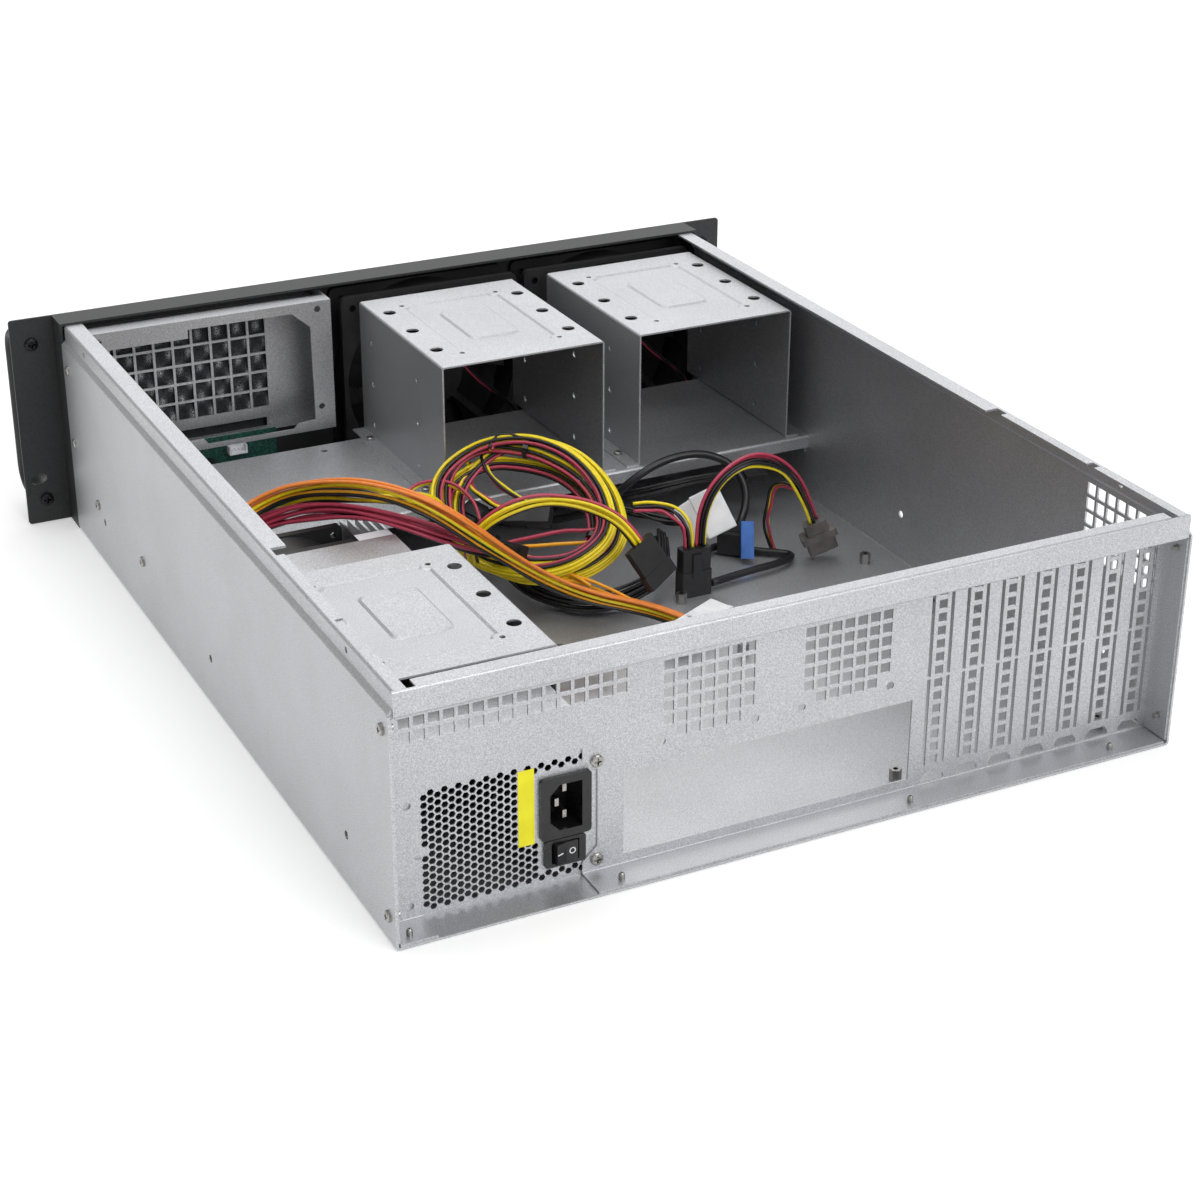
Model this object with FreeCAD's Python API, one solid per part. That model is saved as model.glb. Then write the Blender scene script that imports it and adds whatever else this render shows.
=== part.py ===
import FreeCAD, Part
import math
import os

# Empty 3U rackmount server case, cover off: a folded steel tray with a recessed rear
# pan, a black front panel with rack ears, drive cages on a shelf, two front fans, a
# small power supply in the rear corner and its leads lying loose inside.
# Frame: X to the right seen from the front, Y towards the rear, Z up, millimetres.
# Origin: middle of the whole case's box, on the surface that it stands on.

V = FreeCAD.Vector

# ---------------------------------------------------------------- driving dimensions
BODY_WIDTH = 430.0          # outside of the side walls
BODY_HEIGHT = 130.5         # top of the side walls
BODY_DEPTH = 517.0          # rear edge to the front panel's returns
SHEET = 1.2                 # tray sheet
THIN = 1.0                  # sheet of pan, shelf, cages and brackets
BEND = 0.6                  # inside radius of every fold
SLIP = 0.3                  # gap between pieces that move past each other

PANEL_WIDTH = 482.6         # 19 inch, ear to ear
PANEL_HEIGHT = 132.0        # three rack units
PANEL_SHEET = 1.5
PANEL_RETURN = 18.0         # depth of the front panel's returns
RACK_PITCH = PANEL_WIDTH - 17.5     # between the rack slots of both ears
RACK_SLOT = (10.0, 7.0)
RACK_SLOT_Z = 29.0
HANDLE_REACH = 38.0
HANDLE_PITCH = 101.0
HANDLE_ROD = (16.0, 9.0)    # oval section, wide across the ear
HANDLE_X = PANEL_WIDTH / 2 - 12.3
HANDLE_MID_Z = PANEL_HEIGHT / 2 - 0.5

LANDING_Z = BODY_HEIGHT - 11.0      # the side walls step in here for the cover
LANDING_STEP = 2.5
TOP_FLANGE = 11.0
HOOK_FLANGE = 7.0           # narrower flange behind the first cover hook
HOOKS = (162.0, 76.0)       # cover hooks in front of the rear edge

RECESS = 18.7               # rear pan's face in front of the rear edge
STRIP_Z = BODY_HEIGHT - 13.5        # underside of the pan's proud top strip
RIM = 8.0
WINDOW = 5.4                # punched squares of the rear vents
WINDOW_PITCH = 7.15
VENT_CENTRES = (47.4, -28.2)
VENT_Z = STRIP_Z - 29.0
VENT_SCREW_PITCH = 50.0     # 60 mm fan pattern
GRID_FIRST = (200.5, STRIP_Z - 6.7)
GRID_COUNT = (16, 3)
IO_LEFT = 92.0
IO_SIZE = (158.75, 44.45)
IO_BOTTOM = 7.4
SLOT_COUNT = 7
SLOT_PITCH = 20.32
SLOT_FIRST = -81.2
SLOT_WIDTH = 13.1
COVER_WIDTH = 9.2
SLOT_BOTTOM = 11.8
COVER_WINDOWS = int((STRIP_Z - 5.0 - SLOT_BOTTOM) / WINDOW_PITCH)

SHELF_TOP = 41.0
SHELF_REAR = 363.0          # both in front of the rear edge
SHELF_FRONT = 484.0
SHELF_LIP = 8.0
CAGE_TOP = BODY_HEIGHT - 5.5
CAGE_WIDTH = 104.6
CAGE_LENGTH = 130.0
CAGE_REAR = 366.6
CAGE_CENTRES = (-19.3, -147.5)
CAGE_FOOT = 8.0
DRIVE_HOLES = (39.4, 111.4) # side holes in front of the cage's rear edge
DRIVE_ROWS = (21.0, 48.0, 75.0)
BRACKET_TOP = 86.0          # low drive bracket that stands over the supply
BRACKET_CENTRE = 144.1
BRACKET_REAR = 89.8

FRAME_FACE = 503.0          # supply frame in the front corner
FRAME_RIGHT = 49.5
FRAME_BOTTOM = 43.0
FRAME_TOP = BODY_HEIGHT - 3.0
FOAM = 4.0
SQUARE = 10.5
SQUARE_PITCH = 12.1
SQUARE_FIRST = 89.2
SQUARE_DROP = 14.5
SQUARE_COUNT = (10, 5)
BOARD_FACE = 518.0          # front board's rear face
BOARD_X = (84.5, 177.0)
BOARD_Z = (16.0, 43.6)
BOARD_SHEET = 1.6

FAN_SIZE = 120.0
FAN_DEPTH = 25.0
FAN_SCREW_PITCH = 105.0
FAN_BORE = 115.0
FAN_CENTRES = (-20.0, -145.5)
FAN_Z = 64.0
HUB = 42.0
BLADES = 7
TIP_GAP = 1.5
FAN_REST = 0.4              # axial play of a rotor
FAN_PLAY = 0.05             # radial play on its shaft

PSU_WIDTH = 104.0
PSU_HEIGHT = 70.0
PSU_LENGTH = 255.0
PSU_CENTRE = 153.3
PSU_SHEET = 0.8
PSU_FAN = 70.0
PSU_FAN_BORE = 66.0
PSU_FAN_DEPTH = 28.0
PSU_FAN_X = 158.2
PSU_SCREW_PITCH = (94.3, 52.7)
PSU_SCREW_LOW = (106.2, 8.6)
HEX_ACROSS = 5.2            # perforation of the supply's rear
HEX_PITCH = 6.6
INLET_CENTRE = (122.2, 41.7)
INLET_SIZE = (26.0, 32.5)
ROCKER_CENTRE = (122.6, 17.6)
ROCKER_SIZE = (21.0, 14.6)

STANDOFF_X = (90.4, -67.1, -191.5)
STANDOFF_ROWS = (30.0, 185.0, 257.3)
STANDOFF_HEIGHT = 6.5

# ---------------------------------------------------------------- derived places
HALF = BODY_WIDTH / 2
INNER = HALF - SHEET
LANDING = HALF - LANDING_STEP
REAR = (BODY_DEPTH + PANEL_RETURN + PANEL_SHEET + HANDLE_REACH) / 2
FRONT = REAR - BODY_DEPTH
PANEL_BACK = FRONT - PANEL_RETURN
PANEL_FACE = PANEL_BACK - PANEL_SHEET
FLOOR = SHEET
PAN_Y = REAR - RECESS
PSU_Y = PAN_Y - THIN
PSU_RIGHT = PSU_CENTRE - PSU_WIDTH / 2
PSU_LEFT = PSU_CENTRE + PSU_WIDTH / 2
PSU_FRONT = PSU_Y - PSU_LENGTH
PSU_TOP = FLOOR + PSU_HEIGHT


def forward(distance):
    """Y of a place that lies a distance in front of the rear edge."""
    return REAR - distance


# ---------------------------------------------------------------- helpers
def block(x0, x1, y0, y1, z0, z1):
    corner = V(min(x0, x1), min(y0, y1), min(z0, z1))
    return Part.makeBox(abs(x1 - x0), abs(y1 - y0), abs(z1 - z0), corner)


def rod(start, end, radius):
    """Cylinder from one point to another."""
    axis = V(*end) - V(*start)
    return Part.makeCylinder(radius, axis.Length, V(*start), axis)


def polygon(points):
    """Closed wire through points."""
    corners = [V(*p) for p in points]
    return Part.makePolygon(corners + corners[:1])


def prism(points, push):
    """Closed outline pushed along a vector."""
    return Part.Face(polygon(points)).extrude(V(*push))


def prism_xz(points, y, depth):
    """Outline of (x, z) points at y, pushed along Y by depth."""
    return prism([(x, y, z) for x, z in points], (0, depth, 0))


def square_hole(x, z, width, height, y, depth):
    """Cutter for a rectangular hole centred on x and z."""
    return block(x - width / 2, x + width / 2, y, y + depth, z - height / 2, z + height / 2)


def drill(x, z, radius, y, depth):
    """Cutter for a round hole along Y centred on x and z."""
    return rod((x, y, z), (x, y + depth, z), radius)


def hexagon(x, z, across, y, depth):
    """Hexagonal prism along Y with corners up and down."""
    reach = across / math.sqrt(3)
    turns = [math.radians(60 * k + 30) for k in range(6)]
    return prism_xz([(x + reach * math.cos(t), z + reach * math.sin(t)) for t in turns], y, depth)


def offset_path(path, shift):
    """Parallel of a plane path, to its left, with its corners mitred."""
    sides = []
    for (u0, v0), (u1, v1) in zip(path, path[1:]):
        length = math.hypot(u1 - u0, v1 - v0)
        sides.append((-(v1 - v0) / length, (u1 - u0) / length))
    moved = []
    for k, (u, v) in enumerate(path):
        first = sides[max(k - 1, 0)]
        second = sides[min(k, len(sides) - 1)]
        across = (first[0] + second[0], first[1] + second[1])
        share = 2 * shift / (across[0] ** 2 + across[1] ** 2)
        moved.append((u + across[0] * share, v + across[1] * share))
    return moved


def bent_line(path, radii):
    """Straight runs along points in space, joined by tangent arcs of the given radii."""
    edges = []
    start = path[0]
    for k in range(1, len(path) - 1):
        back_way = (path[k - 1] - path[k]).normalize()
        on_way = (path[k + 1] - path[k]).normalize()
        half_angle = back_way.getAngle(on_way) / 2
        reach = radii[k - 1] / math.tan(half_angle)
        inward = (back_way + on_way).normalize()
        middle = path[k] + inward * (radii[k - 1] / math.sin(half_angle) - radii[k - 1])
        arc_start = path[k] + back_way * reach
        arc_end = path[k] + on_way * reach
        edges.append(Part.LineSegment(start, arc_start).toShape())
        edges.append(Part.Arc(arc_start, middle, arc_end).toShape())
        start = arc_end
    edges.append(Part.LineSegment(start, path[-1]).toShape())
    return edges


def folded_sheet(path, thickness, place, push):
    """Folded sheet. path follows one face in a plane, the sheet lies thickness to its
    left, or to its right where that is negative, and place puts a plane point in space."""
    other = offset_path(path, thickness)
    near, far = [], []
    for a, b, c in zip(path, path[1:], path[2:]):
        turn = (b[0] - a[0]) * (c[1] - b[1]) - (b[1] - a[1]) * (c[0] - b[0])
        path_inside = turn * thickness < 0
        near.append(BEND if path_inside else BEND + abs(thickness))
        far.append(BEND + abs(thickness) if path_inside else BEND)
    one = bent_line([place(p) for p in path], near)
    two = bent_line([place(p) for p in other], far)
    ends = [Part.LineSegment(place(path[k]), place(other[k])).toShape() for k in (0, -1)]
    outline = Part.Wire(Part.__sortEdges__(one + two + ends))
    return Part.Face(outline).extrude(V(*push))


def fuse(shapes):
    return shapes[0].multiFuse(shapes[1:]).removeSplitter()


def cut(shape, cutters):
    return shape.cut(Part.makeCompound(cutters))


def mirror_x(shape):
    return shape.mirror(V(0, 0, 0), V(1, 0, 0))


def screw(seat, way, head_radius, head, shank_radius, shank):
    """Pan head screw: its head stands off the seat against way, its shank goes along it."""
    axis = V(*way)
    top = V(*seat) - axis * head
    parts = [
        Part.makeCylinder(head_radius, head, top, axis),
        Part.makeCylinder(shank_radius, shank + head / 2, V(*seat) - axis * head / 2, axis),
    ]
    return fuse(parts)


def save(name, shapes):
    """Writes one node: one solid, or a group of separate like ones."""
    solids = [solid for shape in shapes for solid in shape.Solids]
    whole = solids[0] if len(solids) == 1 else Part.makeCompound(solids)
    sound = all(solid.isValid() and solid.Volume > 0 for solid in solids)
    whole.exportStep("parts/" + name + ".step")
    print(f"{name}: {len(solids)} solid(s), {whole.Volume / 1000:.2f} cm3, sound {sound}")


os.makedirs("parts", exist_ok=True)

# ---------------------------------------------------------------- tray
# Floor and side walls are one sheet. Each wall steps in under the cover and turns in.
wall_path = [
    (LANDING - TOP_FLANGE, BODY_HEIGHT),
    (LANDING, BODY_HEIGHT),
    (LANDING, LANDING_Z + LANDING_STEP),
    (HALF, LANDING_Z),
    (HALF, 0),
]
tray_path = wall_path + [(-x, z) for x, z in reversed(wall_path)]
tray = folded_sheet(tray_path, -SHEET, lambda p: V(p[0], FRONT, p[1]), (0, BODY_DEPTH, 0))

# Steps of the top flange at the cover's hooks, and the seat of the pan's strip.
flange_end = LANDING - TOP_FLANGE - 1
flange_low = BODY_HEIGHT - SHEET - 1
HOOK_WEB = 3.0
cutters = [
    block(flange_end, LANDING - HOOK_FLANGE, forward(HOOKS[0]), REAR + 1, flange_low, BODY_HEIGHT + 1),
    block(
        flange_end, LANDING - HOOK_WEB, forward(HOOKS[0]), forward(HOOKS[0] - 9),
        flange_low, BODY_HEIGHT + 1),
    block(
        flange_end, LANDING - HOOK_WEB, forward(HOOKS[1]), forward(HOOKS[1] - 6),
        flange_low, BODY_HEIGHT + 1),
    block(flange_end, HALF + 1, REAR - THIN, REAR + 1, LANDING_Z - 1, BODY_HEIGHT + 1),
]
RAIL_HOLES = ((58.7, 28.8), (255.4, 29.5), (451.5, 29.6))
COVER_HOLES = (54.4, 475.5)
COVER_HOLE_Z = BODY_HEIGHT - 4.7
for distance, height in RAIL_HOLES:
    cutters.append(rod((INNER - 1, forward(distance), height), (HALF + 1, forward(distance), height), 2.2))
for distance in COVER_HOLES:
    place = (forward(distance), COVER_HOLE_Z)
    cutters.append(rod((LANDING - SHEET - 1, *place), (HALF, *place), 1.6))

# Screws through the walls: pan flanges, front panel tabs and shelf flanges.
SHANK = 1.5
SHELF_SCREW_Z = SHELF_TOP - 4.5
WALL_SCREWS = (
    (8.0, LANDING_Z - 10.1),
    (8.0, 14.2),
    (506.0, LANDING_Z - 13.1),
    (506.0, 60.0),
    (SHELF_FRONT - 21.2, SHELF_SCREW_Z),
    (SHELF_REAR + 11.0, SHELF_SCREW_Z),
)
for distance, height in WALL_SCREWS:
    place = (forward(distance), height)
    cutters.append(rod((INNER - 1, *place), (HALF + 1, *place), SHANK + 0.1))
cutters = cutters + [mirror_x(cutter) for cutter in cutters]

# Vent of square holes high in the wall on the board's side.
SIDE_VENT_FRONT = 83.7
SIDE_VENT_TOP = LANDING_Z - 3.5
SIDE_VENT_COUNT = (8, 5)
SIDE_PITCH = 8.4
SIDE_WINDOW = 6.6
for column in range(SIDE_VENT_COUNT[0]):
    for row in range(SIDE_VENT_COUNT[1]):
        y0 = forward(SIDE_VENT_FRONT) + SIDE_PITCH * column
        z1 = SIDE_VENT_TOP - SIDE_PITCH * row
        cutters.append(block(-HALF - 1, -INNER + 1, y0, y0 + SIDE_WINDOW, z1 - SIDE_WINDOW, z1))
save("chassis_tray", [cut(tray, cutters)])

wall_screws = []
for distance, height in WALL_SCREWS:
    seat = (HALF, forward(distance), height)
    wall_screws.append(screw(seat, (-1, 0, 0), 3.0, 1.6, SHANK, SHEET + PANEL_SHEET + 2.5))
save("wall_screws", wall_screws + [mirror_x(one) for one in wall_screws])

# ---------------------------------------------------------------- rear pan
# One sheet: flange on the floor, recessed face, flange out, proud strip and rim.
pan_path = [
    (REAR - 1, FLOOR + THIN),
    (PAN_Y, FLOOR + THIN),
    (PAN_Y, STRIP_Z),
    (REAR, STRIP_Z),
    (REAR, BODY_HEIGHT),
    (REAR - RIM, BODY_HEIGHT),
]
pan = folded_sheet(pan_path, THIN, lambda p: V(-INNER, p[0], p[1]), (2 * INNER, 0, 0))
side_flange = block(INNER - THIN, INNER, PAN_Y - THIN, REAR - THIN, FLOOR + THIN, STRIP_Z - SLIP)
pan = fuse([pan, side_flange, mirror_x(side_flange)])

RIM_END = LANDING - TOP_FLANGE - SLIP
ends = [
    block(LANDING, HALF, PAN_Y + 2, REAR + 1, STRIP_Z + THIN, BODY_HEIGHT + 1),
    block(RIM_END, HALF, PAN_Y, REAR - THIN, STRIP_Z + 2 * THIN, BODY_HEIGHT + 1),
    block(INNER - 2 * BEND, HALF, PAN_Y - THIN - 1, REAR + 1, 0, FLOOR + THIN + BEND),
]
for distance, height in WALL_SCREWS[:2]:
    place = (forward(distance), height)
    ends.append(rod((INNER - THIN - 1, *place), (INNER + 1, *place), SHANK + 0.1))
cutters = ends + [mirror_x(end) for end in ends]

through = (PAN_Y - THIN - 1, THIN + 2)


def window(x, z, width, height):
    return square_hole(x, z, width, height, *through)


# Openings for the board's sockets and for the supply, with its chamfered tab.
cutters.append(window(IO_LEFT - IO_SIZE[0] / 2, IO_BOTTOM + IO_SIZE[1] / 2, *IO_SIZE))
PSU_HOLE_LEFT = 194.2
PSU_HOLE_RIGHT = 113.4
PSU_HOLE_TOP = 69.3
PSU_TAB_RIGHT = 105.6
psu_outline = [
    (PSU_HOLE_LEFT, FLOOR - 1),
    (PSU_HOLE_LEFT, PSU_HOLE_TOP),
    (PSU_HOLE_RIGHT, PSU_HOLE_TOP),
    (PSU_HOLE_RIGHT, 62.7),
    (PSU_TAB_RIGHT, 56.3),
    (PSU_TAB_RIGHT, 15.5),
    (PSU_HOLE_RIGHT, 8.2),
    (PSU_HOLE_RIGHT, FLOOR - 1),
]
cutters.append(prism_xz(psu_outline, *through))
cutters.append(block(PSU_HOLE_RIGHT, PSU_HOLE_LEFT, PAN_Y - 2, REAR, FLOOR - 1, FLOOR + THIN + 1))
cutters.append(rod((PSU_HOLE_LEFT + 1.2, PAN_Y - 3, 34.5), (PSU_HOLE_LEFT + 1.2, PAN_Y + 1, 34.5), 2.4))
for column in range(2):
    for row in range(2):
        x = PSU_SCREW_LOW[0] + PSU_SCREW_PITCH[0] * column
        z = PSU_SCREW_LOW[1] + PSU_SCREW_PITCH[1] * row
        cutters.append(rod((x, PAN_Y - 3, z), (x, PAN_Y + 1, z), SHANK + 0.1 if column == 0 else 2.0))

# Two 60 mm fan vents without corner squares, and the wide vent over the supply.
for centre in VENT_CENTRES:
    for column in range(-3, 4):
        for row in range(-3, 4):
            if abs(column) + abs(row) < 6:
                x, z = centre + WINDOW_PITCH * column, VENT_Z + WINDOW_PITCH * row
                cutters.append(window(x, z, WINDOW, WINDOW))
    for column in (-0.5, 0.5):
        for row in (-0.5, 0.5):
            x, z = centre + VENT_SCREW_PITCH * column, VENT_Z + VENT_SCREW_PITCH * row
            cutters.append(rod((x, PAN_Y - 3, z), (x, PAN_Y + 1, z), 2.2))
for column in range(GRID_COUNT[0]):
    for row in range(GRID_COUNT[1]):
        x, z = GRID_FIRST[0] - WINDOW_PITCH * column, GRID_FIRST[1] - WINDOW_PITCH * row
        cutters.append(window(x, z, WINDOW, WINDOW))

# Seven slots, each closed by a windowed strip that breaks out, over a foot opening.
gap = (SLOT_WIDTH - COVER_WIDTH) / 2
cover_height = WINDOW_PITCH * COVER_WINDOWS
for k in range(SLOT_COUNT):
    x = SLOT_FIRST - SLOT_PITCH * k
    for side in (-1, 1):
        for part in (0, 1):
            z = SLOT_BOTTOM + cover_height * (0.25 + 0.5 * part)
            cutters.append(window(x + side * (COVER_WIDTH + gap) / 2, z, gap, cover_height / 2 - 1.2))
    for row in range(COVER_WINDOWS):
        cutters.append(window(x, SLOT_BOTTOM + WINDOW_PITCH * (row + 0.5), 4.7, 5.0))
    foot = [(x - 6.8, 3.6), (x - 6.8, 5.6), (x - 4.6, 8.3), (x + 4.6, 8.3), (x + 6.8, 5.6), (x + 6.8, 3.6)]
    cutters.append(prism_xz(foot, *through))
save("rear_pan", [cut(pan, cutters)])

LEDGE_SCREWS = (206.0, 99.0, -60.8, -182.0)
low = FLOOR + THIN
ledge = [rod((x, forward(6.5), low), (x, forward(6.5), low + 3.6), SHANK) for x in LEDGE_SCREWS]
save("ledge_screws", ledge)

# ---------------------------------------------------------------- shelf and drive cages
WALL_FLANGE = 12.0
shelf_path = [
    (forward(SHELF_REAR), SHELF_TOP - SHELF_LIP),
    (forward(SHELF_REAR), SHELF_TOP),
    (forward(SHELF_FRONT), SHELF_TOP),
    (forward(SHELF_FRONT), SHELF_TOP - SHELF_LIP),
]
shelf = folded_sheet(shelf_path, THIN, lambda p: V(-INNER, p[0], p[1]), (2 * INNER, 0, 0))
shelf_flange = block(
    INNER - THIN, INNER, forward(SHELF_FRONT) + 3 * THIN, forward(SHELF_REAR) - 3 * THIN,
    SHELF_TOP - THIN / 2, SHELF_TOP - WALL_FLANGE)
shelf = fuse([shelf, shelf_flange, mirror_x(shelf_flange)])
cutters = []
for distance, height in WALL_SCREWS[4:]:
    place = (forward(distance), height)
    for side in (-1, 1):
        cutters.append(rod((side * (INNER - THIN - 1), *place), (side * (INNER + 1), *place), SHANK + 0.1))
SHELF_HOLE = (69.0, 472.7)
place = (SHELF_HOLE[0], forward(SHELF_HOLE[1]))
cutters.append(rod((*place, SHELF_TOP - 3), (*place, SHELF_TOP + 1), 2.0))

FOOT_SCREWS = (19.9, 109.4)  # in front of a cage's rear edge
foot_places = []
for centre in CAGE_CENTRES:
    for side in (-1, 1):
        for distance in FOOT_SCREWS:
            foot_x = centre + side * (CAGE_WIDTH + CAGE_FOOT) / 2
            foot_places.append((foot_x, forward(CAGE_REAR + distance)))
for x, y in foot_places:
    cutters.append(rod((x, y, SHELF_TOP - 3), (x, y, SHELF_TOP + 1), SHANK + 0.1))
save("drive_shelf", [cut(shelf, cutters)])
foot_screws = [screw((x, y, SHELF_TOP + THIN), (0, 0, -1), 2.8, 1.8, SHANK, 4.0) for x, y in foot_places]
save("cage_screws", foot_screws)

BIG_HOLES = (42.9, (30.0, 66.6, 103.2))
SMALL_HOLES = (31.5, (18.5, 111.4))
PRESS = 0.8                 # depth of the field pressed into every drive bracket's top
PRESS_SLOPE = 1.5
BOSS = 4.6                  # round bosses that keep the field off its corner holes
PAD = (33.0, 54.0)          # raised pad in the middle of the field, at its foot
PAD_CORNER = 5.0


def corner_wire(half_x, half_y, corner, z, centre):
    """Rectangle outline with an arc at each corner, rounded off or scooped out round it."""
    edges = []
    turns = [(1, 1), (-1, 1), (-1, -1), (1, -1)]
    starts = []
    for a, b in turns:
        on_side = (a * half_x, b * (half_y - corner[1]))
        on_end = (a * (half_x - corner[0]), b * half_y)
        middle = (a * (half_x - corner[2]), b * (half_y - corner[2]))
        ordered = [on_side, middle, on_end] if a * b > 0 else [on_end, middle, on_side]
        starts.append([V(centre[0] + u, centre[1] + v, z) for u, v in ordered])
    for arc, after in zip(starts, starts[1:] + starts[:1]):
        edges.append(Part.Arc(*arc).toShape())
        edges.append(Part.LineSegment(arc[2], after[0]).toShape())
    return Part.Wire(edges)


def pad_wire(centre, inset, z):
    """Rounded rectangle of the pad, smaller all round by inset."""
    corner = PAD_CORNER
    arc = (corner, corner, corner * (1 - math.sqrt(0.5)))
    return corner_wire(PAD[0] / 2 - inset, PAD[1] / 2 - inset, arc, z, centre)


def field_wire(centre, inset, z):
    """Outline of the pressed field, smaller all round by inset, round its corner bosses."""
    half_x = SMALL_HOLES[0]
    half_y = (SMALL_HOLES[1][1] - SMALL_HOLES[1][0]) / 2
    boss = BOSS + inset
    reach = math.sqrt(boss ** 2 - inset ** 2) - inset
    scoop = boss * math.sqrt(0.5) - inset
    return corner_wire(half_x - inset, half_y - inset, (reach, reach, scoop), z, centre)


def pressed(sheet, centre, rear, top):
    """Presses a field with a raised pad into a bracket's top, and punches its holes."""
    middle = (centre, rear - (SMALL_HOLES[1][0] + SMALL_HOLES[1][1]) / 2)
    under = top - THIN
    wall = THIN / 2
    field = Part.makeLoft([
        field_wire(middle, 0, top + 1), field_wire(middle, 0, top),
        field_wire(middle, PRESS_SLOPE, top - PRESS)], True, True)
    pad = Part.makeLoft([
        pad_wire(middle, 0, top - PRESS), pad_wire(middle, PRESS_SLOPE, top),
        pad_wire(middle, PRESS_SLOPE, top + 1)], True, True)
    belly = Part.makeLoft([
        field_wire(middle, -wall, under + wall), field_wire(middle, -wall, under),
        field_wire(middle, PRESS_SLOPE - wall, under - PRESS)], True, True)
    hollow = Part.makeLoft([
        pad_wire(middle, wall, under - PRESS - 1), pad_wire(middle, wall, under - PRESS),
        pad_wire(middle, PRESS_SLOPE + wall, under)], True, True)
    holes = []
    for side in (-1, 1):
        for distance in BIG_HOLES[1]:
            place = (centre + side * BIG_HOLES[0], rear - distance)
            holes.append(rod((*place, under - 1), (*place, top + 1), 3.9))
        for distance in SMALL_HOLES[1]:
            place = (centre + side * SMALL_HOLES[0], rear - distance)
            holes.append(rod((*place, under - 1), (*place, top + 1), 1.6))
    return cut(sheet.fuse(belly.cut(hollow)), [field.cut(pad)] + holes)


def drive_cage(centre):
    """Inverted U of sheet with outward feet, drive holes in both sides."""
    rear = forward(CAGE_REAR)
    half = CAGE_WIDTH / 2
    path = [
        (centre + half + CAGE_FOOT, SHELF_TOP + THIN),
        (centre + half, SHELF_TOP + THIN),
        (centre + half, CAGE_TOP),
        (centre - half, CAGE_TOP),
        (centre - half, SHELF_TOP + THIN),
        (centre - half - CAGE_FOOT, SHELF_TOP + THIN),
    ]
    front = rear - CAGE_LENGTH
    cage = folded_sheet(path, THIN, lambda p: V(p[0], front, p[1]), (0, CAGE_LENGTH, 0))
    holes = []
    for distance in DRIVE_HOLES:
        for drop in DRIVE_ROWS:
            place = (rear - distance, CAGE_TOP - drop)
            holes.append(rod((centre - half - 1, *place), (centre + half + 1, *place), 1.8))
    for side in (-1, 1):
        for distance in FOOT_SCREWS:
            place = (centre + side * (half + CAGE_FOOT / 2), rear - distance)
            holes.append(rod((*place, SHELF_TOP - 1), (*place, SHELF_TOP + THIN + 1), SHANK + 0.1))
    return cut(pressed(cage, centre, rear, CAGE_TOP), holes)


save("drive_cage_1", [drive_cage(CAGE_CENTRES[0])])
save("drive_cage_2", [drive_cage(CAGE_CENTRES[1])])

# Low bracket over the supply: a leg to the floor and a flange on the side wall.
BRACKET_LEDGE = 75.0
BRACKET_FLANGE = 10.0
bracket_rear = forward(BRACKET_REAR)
bracket_front = bracket_rear - CAGE_LENGTH
leg_x = BRACKET_CENTRE - CAGE_WIDTH / 2
bracket_path = [
    (INNER - THIN, BRACKET_LEDGE + BRACKET_FLANGE),
    (INNER - THIN, BRACKET_LEDGE),
    (leg_x + CAGE_WIDTH, BRACKET_LEDGE),
    (leg_x + CAGE_WIDTH, BRACKET_TOP),
    (leg_x, BRACKET_TOP),
    (leg_x, FLOOR + THIN),
    (leg_x - CAGE_FOOT, FLOOR + THIN),
]
bracket = folded_sheet(
    bracket_path, THIN, lambda p: V(p[0], bracket_front, p[1]), (0, CAGE_LENGTH, 0))
NOTCH = 14.0                # the leg stands astride a standoff
notch_y = forward(STANDOFF_ROWS[1])
notch = block(
    leg_x - 2 * CAGE_FOOT, leg_x + 2, notch_y - NOTCH / 2, notch_y + NOTCH / 2,
    0, FLOOR + STANDOFF_HEIGHT + 2)
bracket = pressed(bracket, BRACKET_CENTRE, bracket_rear, BRACKET_TOP)
save("psu_bracket", [bracket.cut(notch)])

# ---------------------------------------------------------------- front panel
# Plate with ears, returns that sit flush with the walls, and tabs inside them.
PLATE_HALF = PANEL_WIDTH / 2
EAR_ROUND = 2.0
plate = block(-PLATE_HALF, PLATE_HALF, PANEL_FACE, PANEL_BACK, 0, PANEL_HEIGHT)
upright = [edge for edge in plate.Edges if abs(edge.Length - PANEL_SHEET) < 1e-6]
plate = plate.makeFillet(EAR_ROUND, upright)
box_outer = block(-HALF, HALF, PANEL_BACK, FRONT, 0, PANEL_HEIGHT)
box_inner = block(
    -HALF + PANEL_SHEET, HALF - PANEL_SHEET, PANEL_BACK, FRONT,
    PANEL_SHEET, PANEL_HEIGHT - PANEL_SHEET)
TAB = 19.0
TAB_HEIGHTS = (50.0, LANDING_Z - 3.5)
tab = block(INNER - PANEL_SHEET, INNER, FRONT - 4, FRONT + TAB, *TAB_HEIGHTS)
lower_tab = block(-170.0, 170.0, FRONT - 4, FRONT - SLIP, SHEET, SHEET + PANEL_SHEET)
panel = fuse([plate, box_outer.cut(box_inner), tab, mirror_x(tab), lower_tab])

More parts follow.
